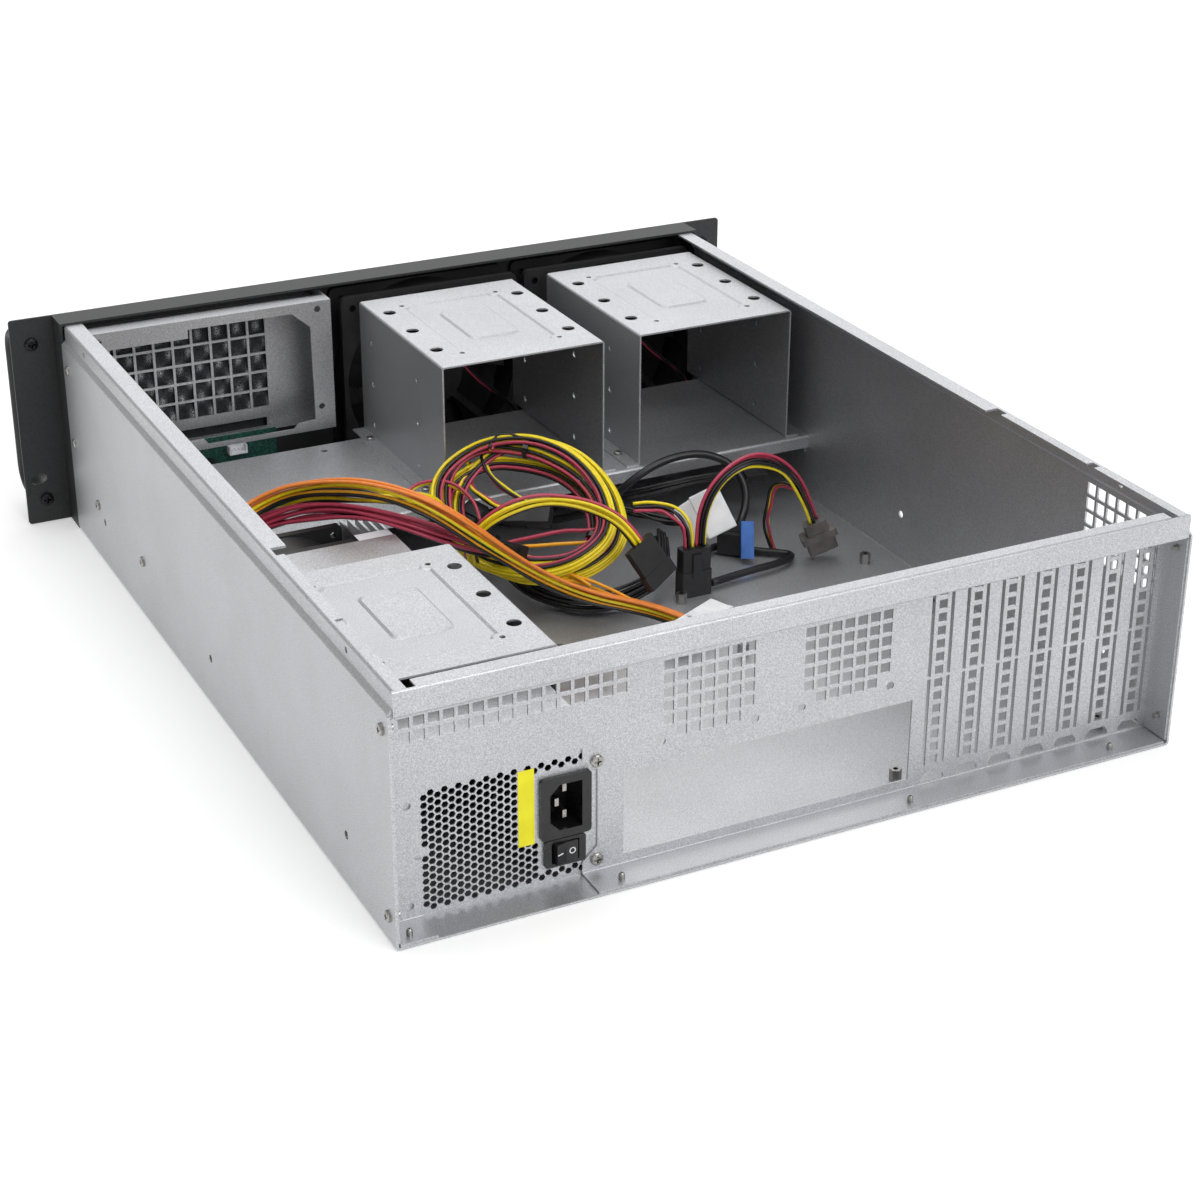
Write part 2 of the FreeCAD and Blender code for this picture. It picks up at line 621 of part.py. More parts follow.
cutters = []
for distance, height in WALL_SCREWS[2:4]:
    place = (forward(distance), height)
    for side in (-1, 1):
        start = (side * (INNER - PANEL_SHEET - 1), *place)
        cutters.append(rod(start, (side * (INNER + 1), *place), SHANK + 0.1))
through = (PANEL_FACE - 1, PANEL_SHEET + 2)
for side in (-1, 1):
    x = side * RACK_PITCH / 2
    reach = RACK_SLOT[0] - RACK_SLOT[1]
    rounds = [drill(x + reach * a, RACK_SLOT_Z, RACK_SLOT[1] / 2, *through) for a in (-0.5, 0.5)]
    between = square_hole(x, RACK_SLOT_Z, reach, RACK_SLOT[1], *through)
    cutters.append(fuse(rounds + [between]))
handle_ends = [HANDLE_MID_Z - HANDLE_PITCH / 2, HANDLE_MID_Z + HANDLE_PITCH / 2]
for side in (-1, 1):
    for z in handle_ends:
        cutters.append(drill(side * HANDLE_X, z, 2.1, *through))

# Air slots in front of the fans and of the supply frame.
AIR_SLOT = (5.0, 84.0)
AIR_PITCH = 11.0
AIR_Z = 76.0
AIR_CENTRES = (FAN_CENTRES[0], FAN_CENTRES[1], 138.0)
AIR_COUNTS = (9, 9, 11)
for centre, count in zip(AIR_CENTRES, AIR_COUNTS):
    for k in range(count):
        x = centre + AIR_PITCH * (k - (count - 1) / 2)
        cutters.append(square_hole(x, AIR_Z, *AIR_SLOT, *through))

# Openings for the front sockets, buttons and lights.
CONTROL_Z = 24.0
SOCKET_X = (160.0, 142.0)
SOCKET_SIZE = (13.2, 5.8)
POWER_X = 112.0
POWER_RADIUS = 6.0
RESET_X = 98.5
RESET_RADIUS = 2.5
LIGHT_X = (129.0, 123.5)
LIGHT_RADIUS = 1.5
CAP_GAP = 0.4
socket_hole = (SOCKET_SIZE[0] + 2 * CAP_GAP, SOCKET_SIZE[1] + 2 * CAP_GAP)
for x in SOCKET_X:
    cutters.append(square_hole(x, CONTROL_Z, *socket_hole, *through))
CAPS = ((POWER_X, POWER_RADIUS), (RESET_X, RESET_RADIUS))
for x, radius in CAPS:
    cutters.append(drill(x, CONTROL_Z, radius + CAP_GAP, *through))
for x in LIGHT_X:
    cutters.append(drill(x, CONTROL_Z, LIGHT_RADIUS + 0.3, *through))
save("front_panel", [cut(panel, cutters)])

# Handles: bent rods screwed to the ears from behind.
HANDLE_BEND = 12.0
bar_y = PANEL_FACE - HANDLE_REACH + HANDLE_ROD[1] / 2
low, high = handle_ends
route = [
    V(HANDLE_X, PANEL_FACE, low),
    V(HANDLE_X, bar_y, low),
    V(HANDLE_X, bar_y, high),
    V(HANDLE_X, PANEL_FACE, high),
]
spine = Part.Wire(bent_line(route, [HANDLE_BEND, HANDLE_BEND]))
wide = route[0] + V(HANDLE_ROD[0] / 2, 0, 0)
deep = route[0] + V(0, 0, HANDLE_ROD[1] / 2)
section = Part.Wire(Part.Ellipse(wide, deep, route[0]).toShape())
handle = spine.makePipeShell([section], True, False)
tapped = [drill(HANDLE_X, z, 2.0, PANEL_FACE + 1, -10.0) for z in handle_ends]
handle = cut(handle, tapped)
save("handle_left", [handle])
save("handle_right", [mirror_x(handle)])
screws = []
for z in handle_ends:
    one = screw((HANDLE_X, PANEL_BACK, z), (0, -1, 0), 4.0, 2.4, 2.0, PANEL_SHEET + 8.0)
    screws += [one, mirror_x(one)]
save("handle_screws", screws)

# ---------------------------------------------------------------- supply frame in front
# Flat frame with a notched opening, held off the front panel by folded side legs.
face_y = forward(FRAME_FACE)
FRAME_LEFT = 206.0
FRAME_SHEET = 1.2
outline = [
    (FRAME_LEFT, FRAME_BOTTOM),
    (FRAME_LEFT, FRAME_TOP),
    (FRAME_RIGHT, FRAME_TOP),
    (FRAME_RIGHT, FRAME_BOTTOM),
]
frame = prism_xz(outline, face_y, -FRAME_SHEET)
legs = [
    block(FRAME_LEFT - FRAME_SHEET, FRAME_LEFT, face_y, PANEL_BACK, FRAME_BOTTOM, FRAME_TOP),
    block(FRAME_RIGHT, FRAME_RIGHT + FRAME_SHEET, face_y, PANEL_BACK, FRAME_BOTTOM, FRAME_TOP),
    block(FRAME_RIGHT, FRAME_LEFT, face_y, face_y - 10.0, FRAME_TOP - FRAME_SHEET, FRAME_TOP),
]
frame = fuse([frame] + legs)
STEP_X = 141.3
STEP_DROP = 5.5
opening_top = FRAME_TOP - 5.9
opening = [
    (190.0, 50.0),
    (190.0, opening_top - STEP_DROP),
    (STEP_X, opening_top - STEP_DROP),
    (STEP_X, opening_top),
    (75.0, opening_top),
    (63.3, opening_top - 10.3),
    (62.7, 50.4),
    (74.0, 49.1),
    (77.4, 46.0),
    (132.9, 46.0),
    (136.0, 50.0),
]
cutters = [prism_xz(opening, face_y + 1, -FRAME_SHEET - 2)]
FRAME_HOLE = (58.2, 58.3)
FRAME_HOLE_PITCH = (138.0, 64.0)
for a in (0, 1):
    for b in (0, 1):
        x = FRAME_HOLE[0] + FRAME_HOLE_PITCH[0] * a
        z = FRAME_HOLE[1] + FRAME_HOLE_PITCH[1] * b
        cutters.append(drill(x, z, 2.0, face_y + 1, -FRAME_SHEET - 2))
save("psu_frame", [cut(frame, cutters)])

# Tray of punched squares that holds the dust filter against the front panel.
GRILLE_RIGHT = FRAME_RIGHT + FRAME_SHEET + SLIP
GRILLE_LEFT = FRAME_LEFT - FRAME_SHEET - SLIP
GRILLE_LOW = 37.5
GRILLE_HIGH = PANEL_HEIGHT - 10.0
grille_y = PANEL_BACK + FOAM + THIN
grille = block(GRILLE_RIGHT, GRILLE_LEFT, PANEL_BACK, grille_y, GRILLE_LOW, GRILLE_HIGH)
pocket = block(
    GRILLE_RIGHT + THIN, GRILLE_LEFT - THIN, PANEL_BACK - 1, grille_y - THIN,
    GRILLE_LOW + THIN, GRILLE_HIGH - THIN)
cutters = [pocket]
for column in range(SQUARE_COUNT[0]):
    for row in range(SQUARE_COUNT[1]):
        x = SQUARE_FIRST + SQUARE_PITCH * column
        z = GRILLE_HIGH - SQUARE_DROP - SQUARE_PITCH * row
        cutters.append(square_hole(x, z, SQUARE, SQUARE, grille_y - THIN - 1, THIN + 2))
LOW_SLOT = (85.8, 160.0, GRILLE_LOW + 3.0, GRILLE_LOW + 9.0)
cutters.append(block(*LOW_SLOT[:2], grille_y - THIN - 1, grille_y + 1, *LOW_SLOT[2:]))
save("front_grille", [cut(grille, cutters)])
foam = block(
    GRILLE_RIGHT + THIN + SLIP, GRILLE_LEFT - THIN - SLIP, PANEL_BACK, PANEL_BACK + FOAM,
    LOW_SLOT[3] + 2.5, GRILLE_HIGH - THIN - SLIP)
save("filter_foam", [foam])

# ---------------------------------------------------------------- front board and controls
board_rear = forward(BOARD_FACE)
board_front = board_rear - BOARD_SHEET
board = block(*BOARD_X, board_front, board_rear, *BOARD_Z)
BOARD_HOLES = ((BOARD_X[0] + 4.0, BOARD_Z[0] + 4.0), (BOARD_X[1] - 4.0, BOARD_Z[0] + 4.0))
cutters = [rod((x, board_front - 1, z), (x, board_rear + 1, z), 1.6) for x, z in BOARD_HOLES]
save("front_board", [cut(board, cutters)])
posts = []
for x, z in BOARD_HOLES:
    foot = rod((x, PANEL_BACK, z), (x, board_front, z), 2.6)
    neck = rod((x, board_front - 1, z), (x, board_rear + 0.2, z), 1.3)
    head = rod((x, board_rear, z), (x, board_rear + 1.6, z), 2.6)
    posts.append(fuse([fuse([foot, neck]), head]))
save("board_posts", posts)

sockets = []
for x in SOCKET_X:
    shell = square_hole(x, CONTROL_Z, *SOCKET_SIZE, board_front, -(board_front - PANEL_FACE))
    mouth = square_hole(x, CONTROL_Z, SOCKET_SIZE[0] - 1.0, SOCKET_SIZE[1] - 1.0, PANEL_FACE - 1, 12.0)
    tongue = block(x - 5.2, x + 5.2, PANEL_FACE + 1, PANEL_FACE + 12.0, CONTROL_Z + 0.2, CONTROL_Z + 1.9)
    sockets.append(fuse([shell.cut(mouth), tongue]))
save("usb_sockets", sockets)

BUTTON_TRAVEL = 1.0
SWITCH_DEPTH = 6.0
switch_front = board_front - SWITCH_DEPTH
CAP_PROUD = 2.0
CAP_FLANGE = 1.2
switches = []
for x, radius in CAPS:
    side = 2 * radius + 3.0
    body = square_hole(x, CONTROL_Z, side, side, board_front, -SWITCH_DEPTH)
    socket = rod((x, switch_front - 1, CONTROL_Z), (x, board_front - 1.5, CONTROL_Z), radius - 0.4)
    switches.append(body.cut(socket))
save("switch_bodies", switches)


def button(x, radius):
    """Round cap with a rim behind the panel and a plunger into its switch."""
    back = PANEL_BACK + 1.0
    half_profile = [
        (0.0, PANEL_FACE - CAP_PROUD),
        (radius - 0.8, PANEL_FACE - CAP_PROUD),
        (radius, PANEL_FACE - CAP_PROUD + 0.8),
        (radius, PANEL_BACK + SLIP),
        (radius + CAP_FLANGE, PANEL_BACK + SLIP),
        (radius + CAP_FLANGE, back),
        (radius - 0.7, back),
        (radius - 0.7, board_front - 1.5 - BUTTON_TRAVEL - SLIP),
        (0.0, board_front - 1.5 - BUTTON_TRAVEL - SLIP),
    ]
    face = Part.Face(polygon([(x + r, y, CONTROL_Z) for r, y in half_profile]))
    return face.revolve(V(x, 0, CONTROL_Z), V(0, 1, 0), 360)


save("power_button", [button(POWER_X, POWER_RADIUS)])
save("reset_button", [button(RESET_X, RESET_RADIUS)])
lights = [rod((x, board_front, CONTROL_Z), (x, PANEL_FACE - 0.5, CONTROL_Z), LIGHT_RADIUS) for x in LIGHT_X]
save("status_lights", lights)

HEADER_X = (105.6, 117.4)
HEADER_Z = (32.0, 37.5)
header = block(*HEADER_X, board_rear, board_rear + 6.0, *HEADER_Z)
header = header.cut(block(
    HEADER_X[0] + 1, HEADER_X[1] - 1, board_rear + 1.5, board_rear + 7,
    HEADER_Z[0] + 1, HEADER_Z[1] + 1))
pins = []
for k in range(4):
    x = HEADER_X[0] + 2.15 + 2.5 * k
    z = HEADER_Z[0] + 2.5
    pins.append(block(x - 0.3, x + 0.3, board_rear + 1.0, board_rear + 5.0, z - 0.3, z + 0.3))
save("board_header", [fuse([header] + pins)])

# ---------------------------------------------------------------- fans
def fan_frame(x, z, back, size, depth, bore, pitch, hole, struts):
    """Square fan housing. back is its flat outlet side, where struts carry the hub."""
    front = back - depth
    plate_depth = depth * 0.16
    half = size / 2
    plates = []
    for y0 in (front, back - plate_depth):
        plate = block(x - half, x + half, y0, y0 + plate_depth, z - half, z + half)
        corners = [edge for edge in plate.Edges if abs(edge.Length - plate_depth) < 1e-6]
        plates.append(plate.makeFillet(size * 0.035, corners))
    duct = rod((x, front, z), (x, back, z), half - 0.6)
    body = fuse(plates + [duct])
    inside = rod((x, front - 1, z), (x, back - plate_depth * 0.5, z), bore / 2)
    outlet = rod((x, back - plate_depth * 0.6, z), (x, back + 1, z), bore / 2)
    holes = []
    for a in (-0.5, 0.5):
        for b in (-0.5, 0.5):
            holes.append(drill(x + pitch * a, z + pitch * b, hole, front - 1, back - front + 2))
    body = cut(body, [inside, outlet] + holes)
    hub_radius = size * HUB / FAN_SIZE / 2
    strut_depth = depth * 0.14
    parts = [rod((x, back - strut_depth, z), (x, back, z), hub_radius)]
    for k in range(struts):
        turn = math.radians(360 / struts * k + 45)
        way = (math.cos(turn), math.sin(turn))
        side = (-way[1] * size * 0.018, way[0] * size * 0.018)
        inner = hub_radius * 0.8
        outer = bore / 2 + 0.6
        corners = [
            (x + way[0] * inner + side[0], z + way[1] * inner + side[1]),
            (x + way[0] * outer + side[0], z + way[1] * outer + side[1]),
            (x + way[0] * outer - side[0], z + way[1] * outer - side[1]),
            (x + way[0] * inner - side[0], z + way[1] * inner - side[1]),
        ]
        parts.append(prism_xz(corners, back, -strut_depth))
    shaft = rod((x, front + depth * 0.25, z), (x, back - strut_depth / 2, z), size * 0.02)
    return fuse([body] + parts + [shaft])


def fan_rotor(x, z, back, size, depth, bore):
    """Hub cup with a bore on the frame's shaft and twisted blades."""
    hub_radius = size * HUB / FAN_SIZE / 2
    low = back - depth * 0.94
    high = back - depth * 0.14 - FAN_REST
    hub = rod((x, low, z), (x, high, z), hub_radius - 0.6)
    rim = [edge for edge in hub.Edges if edge.Closed and abs(edge.CenterOfMass.y - low) < 1e-6]
    hub = hub.makeFillet(size * 0.012, rim)
    blades = []
    tip = bore / 2 - TIP_GAP * size / FAN_SIZE
    for k in range(BLADES):
        blade = fan_blade(
            x, z, low + depth * 0.08, high - depth * 0.18, hub_radius * 0.8, tip,
            360 / BLADES * k, size / FAN_SIZE)
        blades.append(blade.common(rod((x, low, z), (x, high, z), tip)))
    rotor = fuse([hub] + blades)
    shaft = rod((x, low + depth * 0.1, z), (x, high + 1, z), size * 0.02 + FAN_PLAY)
    return rotor.cut(shaft)


def fan_blade(x, z, low, high, inner, outer, turn, scale):
    """Blade lofted through flat sections, steep at its root and wider at its tip."""
    sections = []
    places = (inner, 22.0, 2.0), ((inner + outer) / 2, 20.5, 1.6), (outer, 19.0, 1.2)
    for radius, sweep, thick in places:
        middle = math.radians(turn + 14 * (radius - inner) / (outer - inner))
        out = (math.cos(middle), math.sin(middle))
        reach = radius * math.tan(math.radians(sweep))
        rise = (high - low) * (0.55 + 0.45 * inner / radius)
        upper = [(s, rise * (0.5 + 0.5 * s) ** 1.25 + thick * scale) for s in (-1.0, 0.0, 1.0)]
        lower = [(s, y - thick * scale) for s, y in reversed(upper)]
        points = []
        for s, y in upper + lower:
            point_x = x + radius * out[0] - s * reach * out[1]
            point_z = z + radius * out[1] + s * reach * out[0]
            points.append((point_x, low + y, point_z))
        sections.append(polygon(points))
    return Part.makeLoft(sections, True, True)


for number, fan_x in enumerate(FAN_CENTRES, 1):
    back = PANEL_BACK + FAN_DEPTH
    fan = (fan_x, FAN_Z, back, FAN_SIZE, FAN_DEPTH, FAN_BORE)
    save(f"fan_frame_{number}", [fan_frame(*fan, FAN_SCREW_PITCH, 2.2, 4)])
    save(f"fan_rotor_{number}", [fan_rotor(*fan)])

# ---------------------------------------------------------------- power supply
psu_rear = PSU_Y - PSU_SHEET
base_half = PSU_WIDTH / 2 - PSU_SHEET
base_path = [
    (PSU_FRONT, PSU_TOP - PSU_SHEET),
    (PSU_FRONT, FLOOR),
    (PSU_Y, FLOOR),
    (PSU_Y, PSU_TOP - PSU_SHEET),
]
base = folded_sheet(
    base_path, PSU_SHEET, lambda p: V(PSU_CENTRE - base_half, p[0], p[1]), (2 * base_half, 0, 0))
inlet_body = (22.0, 28.0)
ROCKER_BODY = (18.4, 12.6)
fan_z = FLOOR + PSU_FAN / 2
cutters = [
    square_hole(*INLET_CENTRE, *inlet_body, psu_rear - 1, PSU_SHEET + 2),
    square_hole(*ROCKER_CENTRE, *ROCKER_BODY, psu_rear - 1, PSU_SHEET + 2),
    rod((PSU_FAN_X, PSU_FRONT - 1, fan_z), (PSU_FAN_X, PSU_FRONT + PSU_SHEET + 1, fan_z), PSU_FAN_BORE / 2),
]
for column in range(2):
    for row in range(2):
        x = PSU_SCREW_LOW[0] + PSU_SCREW_PITCH[0] * column
        z = PSU_SCREW_LOW[1] + PSU_SCREW_PITCH[1] * row
        cutters.append(rod((x, psu_rear - 1, z), (x, PSU_Y + 1, z), SHANK + 0.1))

# Perforation beside and above the inlet, with rows half a pitch apart.
HEX_FIELD = (137.5, 193.0, 10.0, 66.5)
HEX_TOP_RIGHT = 110.5
HEX_TOP_LOW = 61.5
row_pitch = HEX_PITCH * math.sqrt(3) / 2
rows = int((HEX_FIELD[3] - HEX_FIELD[2]) / row_pitch) + 1
columns = int((HEX_FIELD[1] - HEX_TOP_RIGHT) / HEX_PITCH) + 1
for row in range(rows):
    z = HEX_FIELD[3] - row_pitch * row
    for column in range(columns):
        x = HEX_FIELD[1] - HEX_PITCH * (column + 0.5 * (row % 2))
        if x > (HEX_TOP_RIGHT if z > HEX_TOP_LOW else HEX_FIELD[0]):
            cutters.append(hexagon(x, z, HEX_ACROSS, psu_rear - 1, PSU_SHEET + 2))
save("psu_base", [cut(base, cutters)])

outer = block(PSU_RIGHT, PSU_LEFT, PSU_FRONT, PSU_Y, FLOOR, PSU_TOP)
inner = block(
    PSU_RIGHT + PSU_SHEET, PSU_LEFT - PSU_SHEET, PSU_FRONT - 1, PSU_Y + 1,
    FLOOR - 1, PSU_TOP - PSU_SHEET)
long_edges = [edge for edge in outer.Edges if abs(edge.Length - PSU_LENGTH) < 1e-6]
top_edges = [edge for edge in long_edges if edge.CenterOfMass.z > PSU_TOP - 1]
save("psu_cover", [outer.makeFillet(PSU_SHEET, top_edges).cut(inner)])

psu_screws = []
for row in range(2):
    z = PSU_SCREW_LOW[1] + PSU_SCREW_PITCH[1] * row
    psu_screws.append(screw((PSU_SCREW_LOW[0], PAN_Y, z), (0, -1, 0), 3.2, 1.8, SHANK, 6.0))
save("psu_screws", psu_screws)

# Mains inlet: flange on the rear, body through it, chamfered socket with three pins.
INLET_FLANGE = 2.2
INLET_DEPTH = 18.0
SOCKET = (16.4, 24.2)
SOCKET_CHAMFER = 5.0
x, z = INLET_CENTRE
x0, x1 = x - SOCKET[0] / 2, x + SOCKET[0] / 2
z0, z1 = z - SOCKET[1] / 2, z + SOCKET[1] / 2
socket_outline = [
    (x0, z0),
    (x0, z1),
    (x1 - SOCKET_CHAMFER, z1),
    (x1, z1 - SOCKET_CHAMFER),
    (x1, z0 + SOCKET_CHAMFER),
    (x1 - SOCKET_CHAMFER, z0),
]
flange = square_hole(x, z, *INLET_SIZE, PSU_Y, INLET_FLANGE)
corners = [edge for edge in flange.Edges if abs(edge.Length - INLET_FLANGE) < 1e-6]
flange = flange.makeFillet(2.0, corners)
through_body = square_hole(
    x, z, inlet_body[0] - 0.4, inlet_body[1] - 0.4, PSU_Y - INLET_DEPTH, INLET_DEPTH + 0.5)
inlet = fuse([flange, through_body]).cut(prism_xz(socket_outline, PSU_Y - INLET_DEPTH + 2.5, 40.0))
PIN_PITCH = 14.0
EARTH_STEP = 4.0
pin_places = [(x - 1.5, z + PIN_PITCH / 2), (x - 1.5, z - PIN_PITCH / 2), (x - 1.5 + EARTH_STEP, z)]
pin_start = PSU_Y - INLET_DEPTH - 4.0
pin_holes = [square_hole(px, pz, 2.0, 4.0, pin_start, 12.0) for px, pz in pin_places]
save("mains_inlet", [cut(inlet, pin_holes)])
save("inlet_pins", [square_hole(px, pz, 2.0, 4.0, pin_start, INLET_DEPTH + 1.0) for px, pz in pin_places])

# Rocker switch: the button tips about an upright axle in its housing.
ROCKER_FLANGE = 2.0
ROCKER_OPENING = (14.2, 11.0)
ROCKER_DEPTH = 14.0
ROCKER_TILT = 9.0
ROCKER_AXLE = 1.2
AXLE_PLAY = 0.05
AXLE_IN = 1.0               # axle behind the flange's face
x, z = ROCKER_CENTRE
flange = square_hole(x, z, *ROCKER_SIZE, PSU_Y, ROCKER_FLANGE)
corners = [edge for edge in flange.Edges if abs(edge.Length - ROCKER_FLANGE) < 1e-6]
flange = flange.makeFillet(1.5, corners)
through_body = square_hole(
    x, z, ROCKER_BODY[0] - 0.4, ROCKER_BODY[1] - 0.4, PSU_Y - ROCKER_DEPTH, ROCKER_DEPTH + 0.5)
axle_y = PSU_Y + ROCKER_FLANGE - AXLE_IN
half_opening = ROCKER_OPENING[1] / 2
bearing_end = half_opening + 0.6
bearing = rod(
    (x, axle_y, z - bearing_end), (x, axle_y, z + bearing_end), ROCKER_AXLE + AXLE_PLAY)
hollow = square_hole(x, z, *ROCKER_OPENING, PSU_Y - ROCKER_DEPTH + 2.0, 40.0)
save("rocker_housing", [cut(fuse([flange, through_body]), [hollow, bearing])])
ROCKER_HALF = ROCKER_OPENING[0] / 2 - 0.9
rocker_outline = [
    (-ROCKER_HALF, -0.6),
    (-ROCKER_HALF + 0.4, 2.6),
    (0.0, 1.7),
    (ROCKER_HALF - 0.4, 2.6),
    (ROCKER_HALF, -0.6),
    (0.0, -5.0),
]
button_half = half_opening - SLIP
face = Part.Face(polygon([(x + a, axle_y + b, z - button_half) for a, b in rocker_outline]))
rocker = face.extrude(V(0, 0, 2 * button_half))
axle = rod((x, axle_y, z - half_opening - 0.5), (x, axle_y, z + half_opening + 0.5), ROCKER_AXLE)
rocker = fuse([rocker, axle])
rocker.rotate(V(x, axle_y, z), V(0, 0, 1), ROCKER_TILT)
save("rocker", [rocker])

STICKER = (8.2, 40.0)
STICKER_CENTRE = (141.6, 44.5)
STICKER_SHEET = 0.15
sticker = square_hole(*STICKER_CENTRE, *STICKER, PSU_Y, STICKER_SHEET)
save("psu_sticker", [sticker])

# Cooling fan on the supply's front, and the finned guard beside it.
psu_fan_pitch = PSU_FAN - 10.0
fan = (PSU_FAN_X, fan_z, PSU_FRONT, PSU_FAN, PSU_FAN_DEPTH, PSU_FAN_BORE)
save("psu_fan_frame", [fan_frame(*fan, psu_fan_pitch, 1.8, 4)])
save("psu_fan_rotor", [fan_rotor(*fan)])
FIN_BLOCK = (102.2, 121.8, 31.0, 67.0)
FIN_COUNT = 5
FIN_SHEET = 1.4
LABEL_DEPTH = 7.0
fin_front = PSU_FRONT - FIN_BLOCK[2]
fins = [block(FIN_BLOCK[0], FIN_BLOCK[1], fin_front, PSU_FRONT, FLOOR, FIN_BLOCK[3])]
fin_pitch = (FIN_BLOCK[1] - FIN_BLOCK[0] - FIN_SHEET) / (FIN_COUNT - 1)
fin_heights = (FIN_BLOCK[3] - 1, PSU_TOP - 0.6)
label_front = PSU_FRONT - LABEL_DEPTH
for k in range(FIN_COUNT):
    x0 = FIN_BLOCK[0] + fin_pitch * k
    fins.append(block(x0, x0 + FIN_SHEET, fin_front, label_front, *fin_heights))
fins.append(block(FIN_BLOCK[0], FIN_BLOCK[1], label_front, PSU_FRONT, *fin_heights))
save("psu_fins", [fuse(fins)])

# ---------------------------------------------------------------- standoffs
STANDOFF_ACROSS = 5.5
standoffs = []
for x in STANDOFF_X:
    for distance in STANDOFF_ROWS:
        stud = hexagon(0, 0, STANDOFF_ACROSS, 0, STANDOFF_HEIGHT)
        stud.rotate(V(0, 0, 0), V(1, 0, 0), 90)
        stud.translate(V(x, forward(distance), FLOOR))
        place = (x, forward(distance))
        hole = rod((*place, FLOOR + 1.5), (*place, FLOOR + STANDOFF_HEIGHT + 1), 1.25)
        standoffs.append(stud.cut(hole))
save("standoffs", standoffs)

# ---------------------------------------------------------------- leads and their plugs
def route_points(route):
    """Points (x, distance in front of the rear edge, z) in the part's frame."""
    return [V(x, forward(distance), z) for x, distance, z in route]


def lead(name, diameter, route):
    """Tube along straight runs joined by arcs as large as the runs allow."""
    path = route_points(route)
    radii = []
    for a, b, c in zip(path, path[1:], path[2:]):
        turn = (b - a).getAngle(c - b)
        radii.append(0.45 * min((b - a).Length, (c - b).Length) / math.tan(turn / 2))
    spine = Part.Wire(bent_line(path, radii))
    section = Part.Wire(Part.makeCircle(diameter / 2, path[0], path[1] - path[0]))
    tube = spine.makePipeShell([section], True, False)
    expected = math.pi * diameter ** 2 / 4 * spine.Length
    print(f"  {name}: length {spine.Length:.0f}, volume ratio {tube.Volume / expected:.4f}")
    print("  radii in diameters:", [round(radius / diameter, 1) for radius in radii])
    save(name, [tube])


def along(start, way, up, width, height, length):
    """Block from a start point along way, centred across it, height measured along up."""
    way = V(*way).normalize()
    side = V(*up).cross(way).normalize()
    up = way.cross(side)
    corner = start - side * (width / 2) - up * (height / 2)
    corners = [corner, corner + side * width, corner + side * width + up * height, corner + up * height]
    return Part.Face(Part.makePolygon(corners + corners[:1])).extrude(way * length)


TOUCH = 0.3                 # gap between a lead's end and what it meets


def plug_at(route, up, size):
    """Plug on the end of a route, in line with its last run."""
    path = route_points(route)
    way = (path[-1] - path[-2]).normalize()
    return along(path[-1] + way * TOUCH, (way.x, way.y, way.z), up, *size)


BUSHING = (200.0, 10.4, 22.0, 64.0, 3.0)
x, width, z0, z1, depth = BUSHING
save("lead_bushing", [block(x - width / 2, x + width / 2, PSU_FRONT, PSU_FRONT - depth, z0, z1)])
LEAD_START = REAR - PSU_FRONT + BUSHING[4] + TOUCH

# Surplus of the supply's leads, tied into one leaning ring.
COIL_CENTRE = (0.0, 310.0, 48.0)
COIL_RADIUS = 48.0
COIL_TUBE = 7.0
COIL_NORMAL = (0.354, 0.504, 0.788)
coil = Part.makeTorus(COIL_RADIUS, COIL_TUBE, route_points([COIL_CENTRE])[0], V(*COIL_NORMAL))
save("lead_coil", [coil])

route = [
    (200, LEAD_START, 56), (200, 298, 56), (195, 316, 60), (182, 331, 65), (163, 339, 72),
    (144, 332, 82), (129, 312, 91), (114, 291, 96), (97, 273, 94), (80, 264, 85),
    (61, 261, 69), (39, 262, 49), (16, 258, 32), (-7, 253, 20), (-28, 245, 14),
    (-42, 234, 11), (-49, 220, 10)]
lead("supply_lead_1", 7.0, route)
save("atx_plug", [plug_at(route, (0, 0, 1), (51.6, 9.8, 15.0))])

route = [
    (200, LEAD_START, 44), (200, 299, 44), (195, 318, 48), (182, 334, 52), (165, 341, 59),
    (146, 332, 68), (130, 312, 77), (113, 291, 80), (94, 275, 77), (73, 271, 66),
    (54, 276, 54), (38, 286, 45)]
lead("supply_lead_2", 7.0, route)
save("drive_plug", [plug_at(route, (0, 0, 1), (21.0, 10.0, 20.0))])

lead("supply_lead_3", 6.0, [
    (200, LEAD_START, 32), (200, 300, 32), (196, 322, 35), (185, 341, 41), (170, 352, 51),
    (152, 349, 64), (139, 332, 77), (126, 313, 85), (109, 296, 87), (90, 292, 83),
    (72, 298, 76), (60, 306, 65), (52.6, 315.8, 54), (46.9, 324.1, 47.3)])

route = [
    (45.0, 299.8, 31.9), (50, 292.5, 42), (51, 286, 53), (45, 281, 64), (32, 277, 72),
    (16, 275, 75), (-1, 270, 73), (-17, 262, 68), (-29, 255, 59), (-35, 251, 48)]
lead("drive_lead", 5.0, route)
save("sata_plug", [plug_at(route, (-0.4, 1, 0), (22.0, 6.0, 26.0))])

